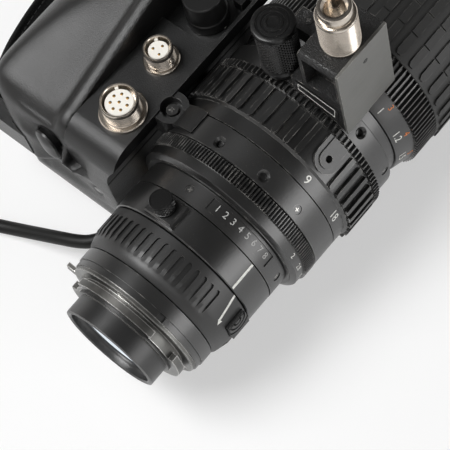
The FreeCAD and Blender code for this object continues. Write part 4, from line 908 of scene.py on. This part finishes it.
def remeshed(node, voxel):
    """A copy of a node as an even net, in millimetres."""
    source = bmesh.new()
    source.from_mesh(nodes[node].data)
    bmesh.ops.remove_doubles(source, verts=source.verts, dist=0.004 * MM)
    bmesh.ops.scale(source, vec=(1 / MM, 1 / MM, 1 / MM), verts=source.verts)
    holder = linked("net", mesh_of(source, "net"))
    net = holder.modifiers.new("net", "REMESH")
    net.mode = "VOXEL"
    net.voxel_size = voxel
    view = bpy.context.evaluated_depsgraph_get()
    fine = bpy.data.meshes.new_from_object(holder.evaluated_get(view))
    bpy.data.objects.remove(holder)
    bm = bmesh.new()
    bm.from_mesh(fine)
    bpy.data.meshes.remove(fine)
    return bm


def smooth(bm, verts, passes):
    for _ in range(passes):
        bmesh.ops.smooth_vert(bm, verts=verts, factor=0.5, use_axis_x=True, use_axis_y=True, use_axis_z=True)


shell = remeshed("palm_shell", 1.25)
print("shell net", len(shell.verts))
free = [v for v in shell.verts if v.co.z > WELLS and v.co.x < INNER_LIMIT and v.co.y < FRONT_LIMIT]
smooth(shell, free, 4)
soft = [v for v in free if v.co.x < SEAM - 9
        and not (v.co.y < RECESS_FRONT and v.co.z < RECESS_TOP and v.co.x > RECESS_OUTER)]
smooth(shell, soft, 60)
shell.normal_update()
for vert in free:
    x, y, z = vert.co
    across = SEAM - x
    upwards = ramp(vert.normal.z, 0.25, 0.7) * ramp(z, 14, 24)
    rearwards = ramp(-vert.normal.y, 0.3, 0.8) * ramp(z, 22, 34)
    band = ramp(across, 5.0, 7.6) * (1 - ramp(across, 18.0, 46.0))
    vert.co.z -= BAND_DEPTH * band * upwards
    vert.co.y += BAND_REAR_DEPTH * band * rearwards
smooth(shell, [v for v in free if 3 < SEAM - v.co.x < 40], 1)
smooth(shell, [v for v in shell.verts if v.co.y < 33.0 and -93 < v.co.x < -67 and v.co.z < 31], 3)
for vert in shell.verts:
    x, y, z = vert.co
    tuck = ramp(-z, -16, 14) * (1 - 0.8 * ramp(-z, 22, 40)) * (1 - ramp(y, 31, 60))
    tuck *= 1 - ramp(-x, 82, 92) * (1 - ramp(-z, 13, 23))
    vert.co.y += WALL_TUCK * tuck
    if z < 8.4 and y < 37.6:
        flush = CASE_REAR + 0.1 * (y - 29.5)
        vert.co.y = max(vert.co.y, vert.co.y + (flush - vert.co.y) * ramp(x, -62.5, -60.5))
palm = add_piece(shell, "soft_palm_shell", BODY, "shell_plastic")
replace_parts(palm, "palm_shell")
print("shell pieces", len(palm.data.polygons))

# %% [markdown]
# ## The hand strap
#
# A broad leather band is sewn round a soft core, so it is thick in the middle and thin at its
# hems. A grid is bent along the strap's line, drawn out into a closed pad, and finished with
# subdivision.

# %% The hand strap
STRAP_LINE = [Vector(point) for point in ((-119.5, 42.0, 0), (-129.6, 66.0, 0), (-134.6, 96.0, 0),
                                          (-130.5, 122.0, 0), (-116.0, 143.0, 0))]
STRAP_LOW, STRAP_HIGH, STRAP_THICK, STRAP_END = -39.5, 7.5, 5.6, 19.0


def strap_place(share):
    """A point and the outward direction at a share of the strap's line, a Catmull-Rom curve."""
    spans = len(STRAP_LINE) - 1
    index = min(int(share * spans), spans - 1)
    t = share * spans - index
    before = STRAP_LINE[max(index - 1, 0)]
    first, last = STRAP_LINE[index], STRAP_LINE[index + 1]
    after = STRAP_LINE[min(index + 2, spans)]
    a, b = last - before, 2 * before - 5 * first + 4 * last - after
    c = 3 * first - before - 3 * last + after
    point = 0.5 * (2 * first + a * t + b * t * t + c * t ** 3)
    heading = 0.5 * (a + 2 * b * t + 3 * c * t * t)
    return point, Vector((-heading.y, heading.x, 0)).normalized()


def strap_low(share):
    """The height of the strap's lower edge, which is narrow at its ends."""
    end_low = STRAP_HIGH - STRAP_END
    return end_low - (end_low - STRAP_LOW) * ramp(min(share, 1 - share), 0.0, 0.42)


strap = bmesh.new()
bmesh.ops.create_grid(strap, x_segments=36, y_segments=10, size=0.5)
made = bmesh.ops.extrude_face_region(strap, geom=strap.faces[:], use_keep_orig=True)
outer_face = set(new_verts(made))
for vert in strap.verts:
    share, rise = vert.co.x + 0.5, vert.co.y + 0.5
    point, out = strap_place(share)
    crown = 1 - abs(2 * rise - 1) ** 4
    half = STRAP_THICK / 2 * (0.42 + 0.58 * crown) * (0.55 + 0.45 * ramp(min(share, 1 - share), 0.0, 0.08))
    side = 1 if vert in outer_face else -1
    low = strap_low(share)
    height = low + (STRAP_HIGH - low) * rise
    vert.co = point + out * half * side + Vector((0, 0, height))
bmesh.ops.recalc_face_normals(strap, faces=strap.faces)
band = add_piece(strap, "leather_strap", BODY, "strap_leather")
for modifier in list(band.modifiers):
    band.modifiers.remove(modifier)
rounding = band.modifiers.new("rounding", "SUBSURF")
rounding.levels = rounding.render_levels = 2
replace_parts(band, "hand_strap")
print("strap", round(STRAP_HIGH - STRAP_LOW), "mm wide")

# %% [markdown]
# ## The strap's stitches
#
# One spindle is stamped along both hems, on the outer and the inner side of the strap.

# %% The strap's stitches
STITCH_ROW, STITCH_HEM, UPWARDS = 38, 3.0, Vector((0, 0, 1))
stitch = lathe([(0, -1.1), (0.28, -0.85), (0.32, 0), (0.28, 0.85), (0, 1.1)], 6)
stitches = bmesh.new()
for index in range(STITCH_ROW):
    share = 0.06 + 0.88 * index / (STITCH_ROW - 1)
    point, out = strap_place(share)
    for rise in (strap_low(share) + STITCH_HEM, STRAP_HIGH - STITCH_HEM):
        for side in (1, -1):
            spot = point + out * side * STRAP_THICK * 0.34 + UPWARDS * rise
            stamp(stitches, stitch, along(spot, out.cross(UPWARDS)))
stitch.free()
add_piece(stitches, "strap_stitches", BODY, "cell_black")
print("stitches", STITCH_ROW * 4)

# %% [markdown]
# ## The cable's ends
#
# The plug is a fluted metal sleeve with a hollow nose, behind a ribbed rubber relief. A ribbed
# sleeve of the same rubber guards the cable where it leaves the shell.

# %% The cable's ends
PLUG_PLACE = along(Vector(CABLE_POINTS[-1]), (15.5, -9.5, 0))
turned = lathe([(0, 8.0), (7.4, 8.0), (8.1, 8.6), (8.25, 9.4), (8.25, 15.0), (7.7, 15.4), (7.7, 16.6),
                (8.25, 17.0), (8.25, 30.0), (8.1, 30.8), (7.2, 31.0), (7.2, 33.6), (6.7, 34.0), (6.7, 41.6),
                (6.4, 42.0), (5.9, 42.0), (5.7, 41.6), (5.7, 36.0), (0, 36.0)])
plug = placed(flute(turned, 64, 0.35, 16.8, 30.4), PLUG_PLACE)
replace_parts(add_piece(plug, "round_plug", BODY, "bright_steel"), "camera_plug")

ribs = [(3.5 + 0.3 * index + lift, 0.3 + 1.5 * index + step) for index in range(5)
        for step, lift in ((0.0, 0.0), (0.8, 0.15), (1.0, -0.35), (1.3, -0.3))]
relief = placed(lathe([(0, 0.0), (3.3, 0.0)] + ribs + [(4.9, 8.0), (0, 8.0)], 40), PLUG_PLACE)
add_piece(relief, "plug_relief", BODY, "cable_rubber")

gland = placed(lathe([
    (0, 0.1), (3.35, 0.1), (3.6, 0.5), (3.8, 1.4), (3.5, 1.6), (3.55, 2.2), (4.0, 2.4), (4.1, 3.2),
    (3.7, 3.4), (3.75, 4.0), (4.3, 4.2), (4.38, 5.2), (4.38, 10.4), (0, 10.4)], 40),
    along(Vector(CABLE_POINTS[0]), Vector(CABLE_POINTS[0]) - Vector(CABLE_POINTS[1])))
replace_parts(add_piece(gland, "cable_relief", BODY, "cable_rubber"), "cable_gland")
print("cable ends ready")

# %% [markdown]
# ## Single screws and their crosses
#
# Screws hold the lug, the tray, the bracket and the shell's cover. A screwdriver has rubbed
# their crosses bright, as it has those of the barrel's screws, so each recess gets a thin cross
# of bare steel.

# %% Single screws and their crosses
# Name, node it replaces, radius, height, place, direction and turn
FITTINGS = (
    ("lug_bolt", "lug_screw", 2.5, 2.2, (-35.2, 74.3, 31.0), (0, 0, 1), 40),
    ("tray_screw", None, 1.7, 1.0, (-50.1, 109.4, 30.35), (0, 0, 1), 15),
    ("bracket_screw", None, 1.9, 1.0, (-2.0, 128.0, 60.15), (0, 0, 1), 70),
    ("cover_bolt", None, 2.2, 1.4, (-60.0, 39.4, -17.0), (0.05, -1, 0), 30),
)
cross, crosses = bmesh.new(), bmesh.new()
for turn in (0, 90):
    block(cross, (0.95, 0.17, 0.1), rotated(turn) @ at(0, 0, -0.03))
for place in SCREW_PLACES:
    stamp(crosses, cross, place @ Matrix.Scale(BARREL_SCREW, 4))
for name, node, radius, height, spot, out, turn in FITTINGS:
    place = along(spot, out) @ rotated(turn)
    stamp(crosses, cross, place @ Matrix.Scale(radius, 4))
    bm = placed(screw_head(radius, height), place)
    piece = add_piece(bm, name, BODY, "ring_black")
    if node:
        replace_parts(piece, node)
cross.free()
add_piece(crosses, "screw_crosses", BODY, "bright_steel")
print("fittings", len(FITTINGS))

# %% [markdown]
# ## Nameplate, release slot and tray dot
#
# The module has a bare nameplate with a thin frame on its rear face, and a release slot in its
# side plate. The nameplate is one face with four corners, inset and drawn out to a shallow
# plate. The slot is a turned ring that is squeezed to an oval, and the tray's dot a flat turning.

# %% Nameplate, release slot and tray dot
PLATE_MIDDLE = Vector((17.5, 106.86, 47.2))
PLATE_SINK = 0.45
corners = [(7.0, 46.4), (27.4, 41.0), (28.4, 49.2), (7.4, 52.2)]
nameplate = bmesh.new()
bmesh.ops.contextual_create(nameplate, geom=[nameplate.verts.new((x, PLATE_MIDDLE.y, z)) for x, z in corners])
bmesh.ops.inset_region(nameplate, faces=nameplate.faces[:], thickness=0.5, depth=0)
middle = min(nameplate.faces, key=lambda face: (face.calc_center_median() - PLATE_MIDDLE).length)
made = bmesh.ops.extrude_face_region(nameplate, geom=[middle])
bmesh.ops.translate(nameplate, vec=(0, 0.12, 0), verts=new_verts(made))
made = bmesh.ops.extrude_edge_only(nameplate, edges=open_edges(nameplate))
bmesh.ops.translate(nameplate, vec=(0, 0.4, 0), verts=new_verts(made))
bmesh.ops.recalc_face_normals(nameplate, faces=nameplate.faces)
bmesh.ops.translate(nameplate, vec=(0, -PLATE_SINK, 0), verts=nameplate.verts)
add_piece(nameplate, "module_nameplate", BODY, "control_black")

frame_line = bmesh.new()
inner = [Vector((x + (PLATE_MIDDLE.x - x) * 0.12, PLATE_MIDDLE.y - 0.4, z + (PLATE_MIDDLE.z - z) * 0.24))
         for x, z in corners]
for start, end in zip(inner, inner[1:] + inner[:1]):
    block(frame_line, (0.26, 0.26, (end - start).length), along((start + end) / 2, end - start))
add_piece(frame_line, "nameplate_frame", BODY, "white_enamel")

slot = lathe([(0, -0.4), (1.3, -0.4), (1.3, 0.05), (1.1, 0.12), (0.8, 0.1), (0.7, -0.3), (0, -0.3)], 24)
slot = placed(slot, along((31.75, 122.9, 69.1), (1, 0, 0)) @ Matrix.Diagonal((1.0, 0.7, 1.0, 1.0)))
add_piece(slot, "plate_slot", BODY, "control_black")

dot = placed(lathe([(0, 29.9), (1.0, 29.9), (1.0, 30.05), (0, 30.06)], 20), at(-43.6, 117.3, 0))
add_piece(dot, "tray_dot", BODY, "white_enamel")
print("small marks and fittings 4")

# %% [markdown]
# ## Table and lamps
#
# A product photograph is lit by large soft lamps over white paper. The lamps are kept at a level
# where the paper renders as white. The camera, gloss and glass see it a little brighter than it
# is lit, so that it looks white and still holds the shadow.

# %% Table and lamps
FLOOR = -46.5 * MM
TABLE_SIZE = 0.9
LENS_MIDDLE = Vector((0, 0.08, 0))

bm = bmesh.new()
bmesh.ops.create_grid(bm, x_segments=1, y_segments=1, size=TABLE_SIZE, matrix=at(0, 0, FLOOR))
table = linked("table", mesh_of(bm, "table"))
paper = Finish("table_white", (0.93, 0.93, 0.93), 0.95)
rays = paper.node("ShaderNodeLightPath", out="Is Camera Ray")
rays = rays.math("MAXIMUM", paper.node("ShaderNodeLightPath", out="Is Glossy Ray"))
rays = rays.math("MAXIMUM", paper.node("ShaderNodeLightPath", out="Is Transmission Ray"))
glow = paper.node("ShaderNodeEmission", None, (1, 1, 1, 1), 1.0)
blend = paper.node("ShaderNodeMixShader", None, rays * 0.45, Wire(paper, paper.shader.outputs[0]), glow)
paper.tree.links.new(blend.socket, paper.tree.nodes["Material Output"].inputs["Surface"])
table.data.materials.append(paper.material)


def lamp(name, place, size, power):
    """A square soft lamp that faces the lens."""
    data = bpy.data.lights.new(name, "AREA")
    data.shape = "SQUARE"
    data.size = size
    data.energy = power
    made = linked(name, data)
    made.location = place
    made.rotation_euler = (LENS_MIDDLE - Vector(place)).to_track_quat("-Z", "Y").to_euler()


lamp("key", (-0.63, -0.55, 1.65), 1.0, 32.5)
lamp("fill", (0.9, -0.7, 1.4), 1.0, 4.0)
lamp("side_card", (1.3, 0.40, 0.22), 0.7, 5.0)
print("lamps 3")

# %% [markdown]
# ## The world
#
# The world is brightest at the horizon and darker overhead, so that round black surfaces show a
# bright side and a dark side. A Map Range node turns the height of a direction into a strength.

# %% The world
HIGH, HORIZON_STRENGTH, OVERHEAD_STRENGTH = 0.55, 1.0, 0.06
world = bpy.data.worlds.new("studio")
bpy.context.scene.world = world
world.use_nodes = True
tree = world.node_tree
direction = tree.nodes.new("ShaderNodeTexCoord")
height = tree.nodes.new("ShaderNodeSeparateXYZ")
shade = tree.nodes.new("ShaderNodeMapRange")
for socket, value in zip(shade.inputs[1:5], (0.0, HIGH, HORIZON_STRENGTH, OVERHEAD_STRENGTH)):
    socket.default_value = value
tree.links.new(direction.outputs["Generated"], height.inputs[0])
tree.links.new(height.outputs["Z"], shade.inputs["Value"])
tree.links.new(shade.outputs[0], tree.nodes["Background"].inputs["Strength"])
tree.nodes["Background"].inputs["Color"].default_value = (1.0, 0.98, 0.965, 1)
bpy.context.scene.view_settings.view_transform = "Standard"
print("world ready")
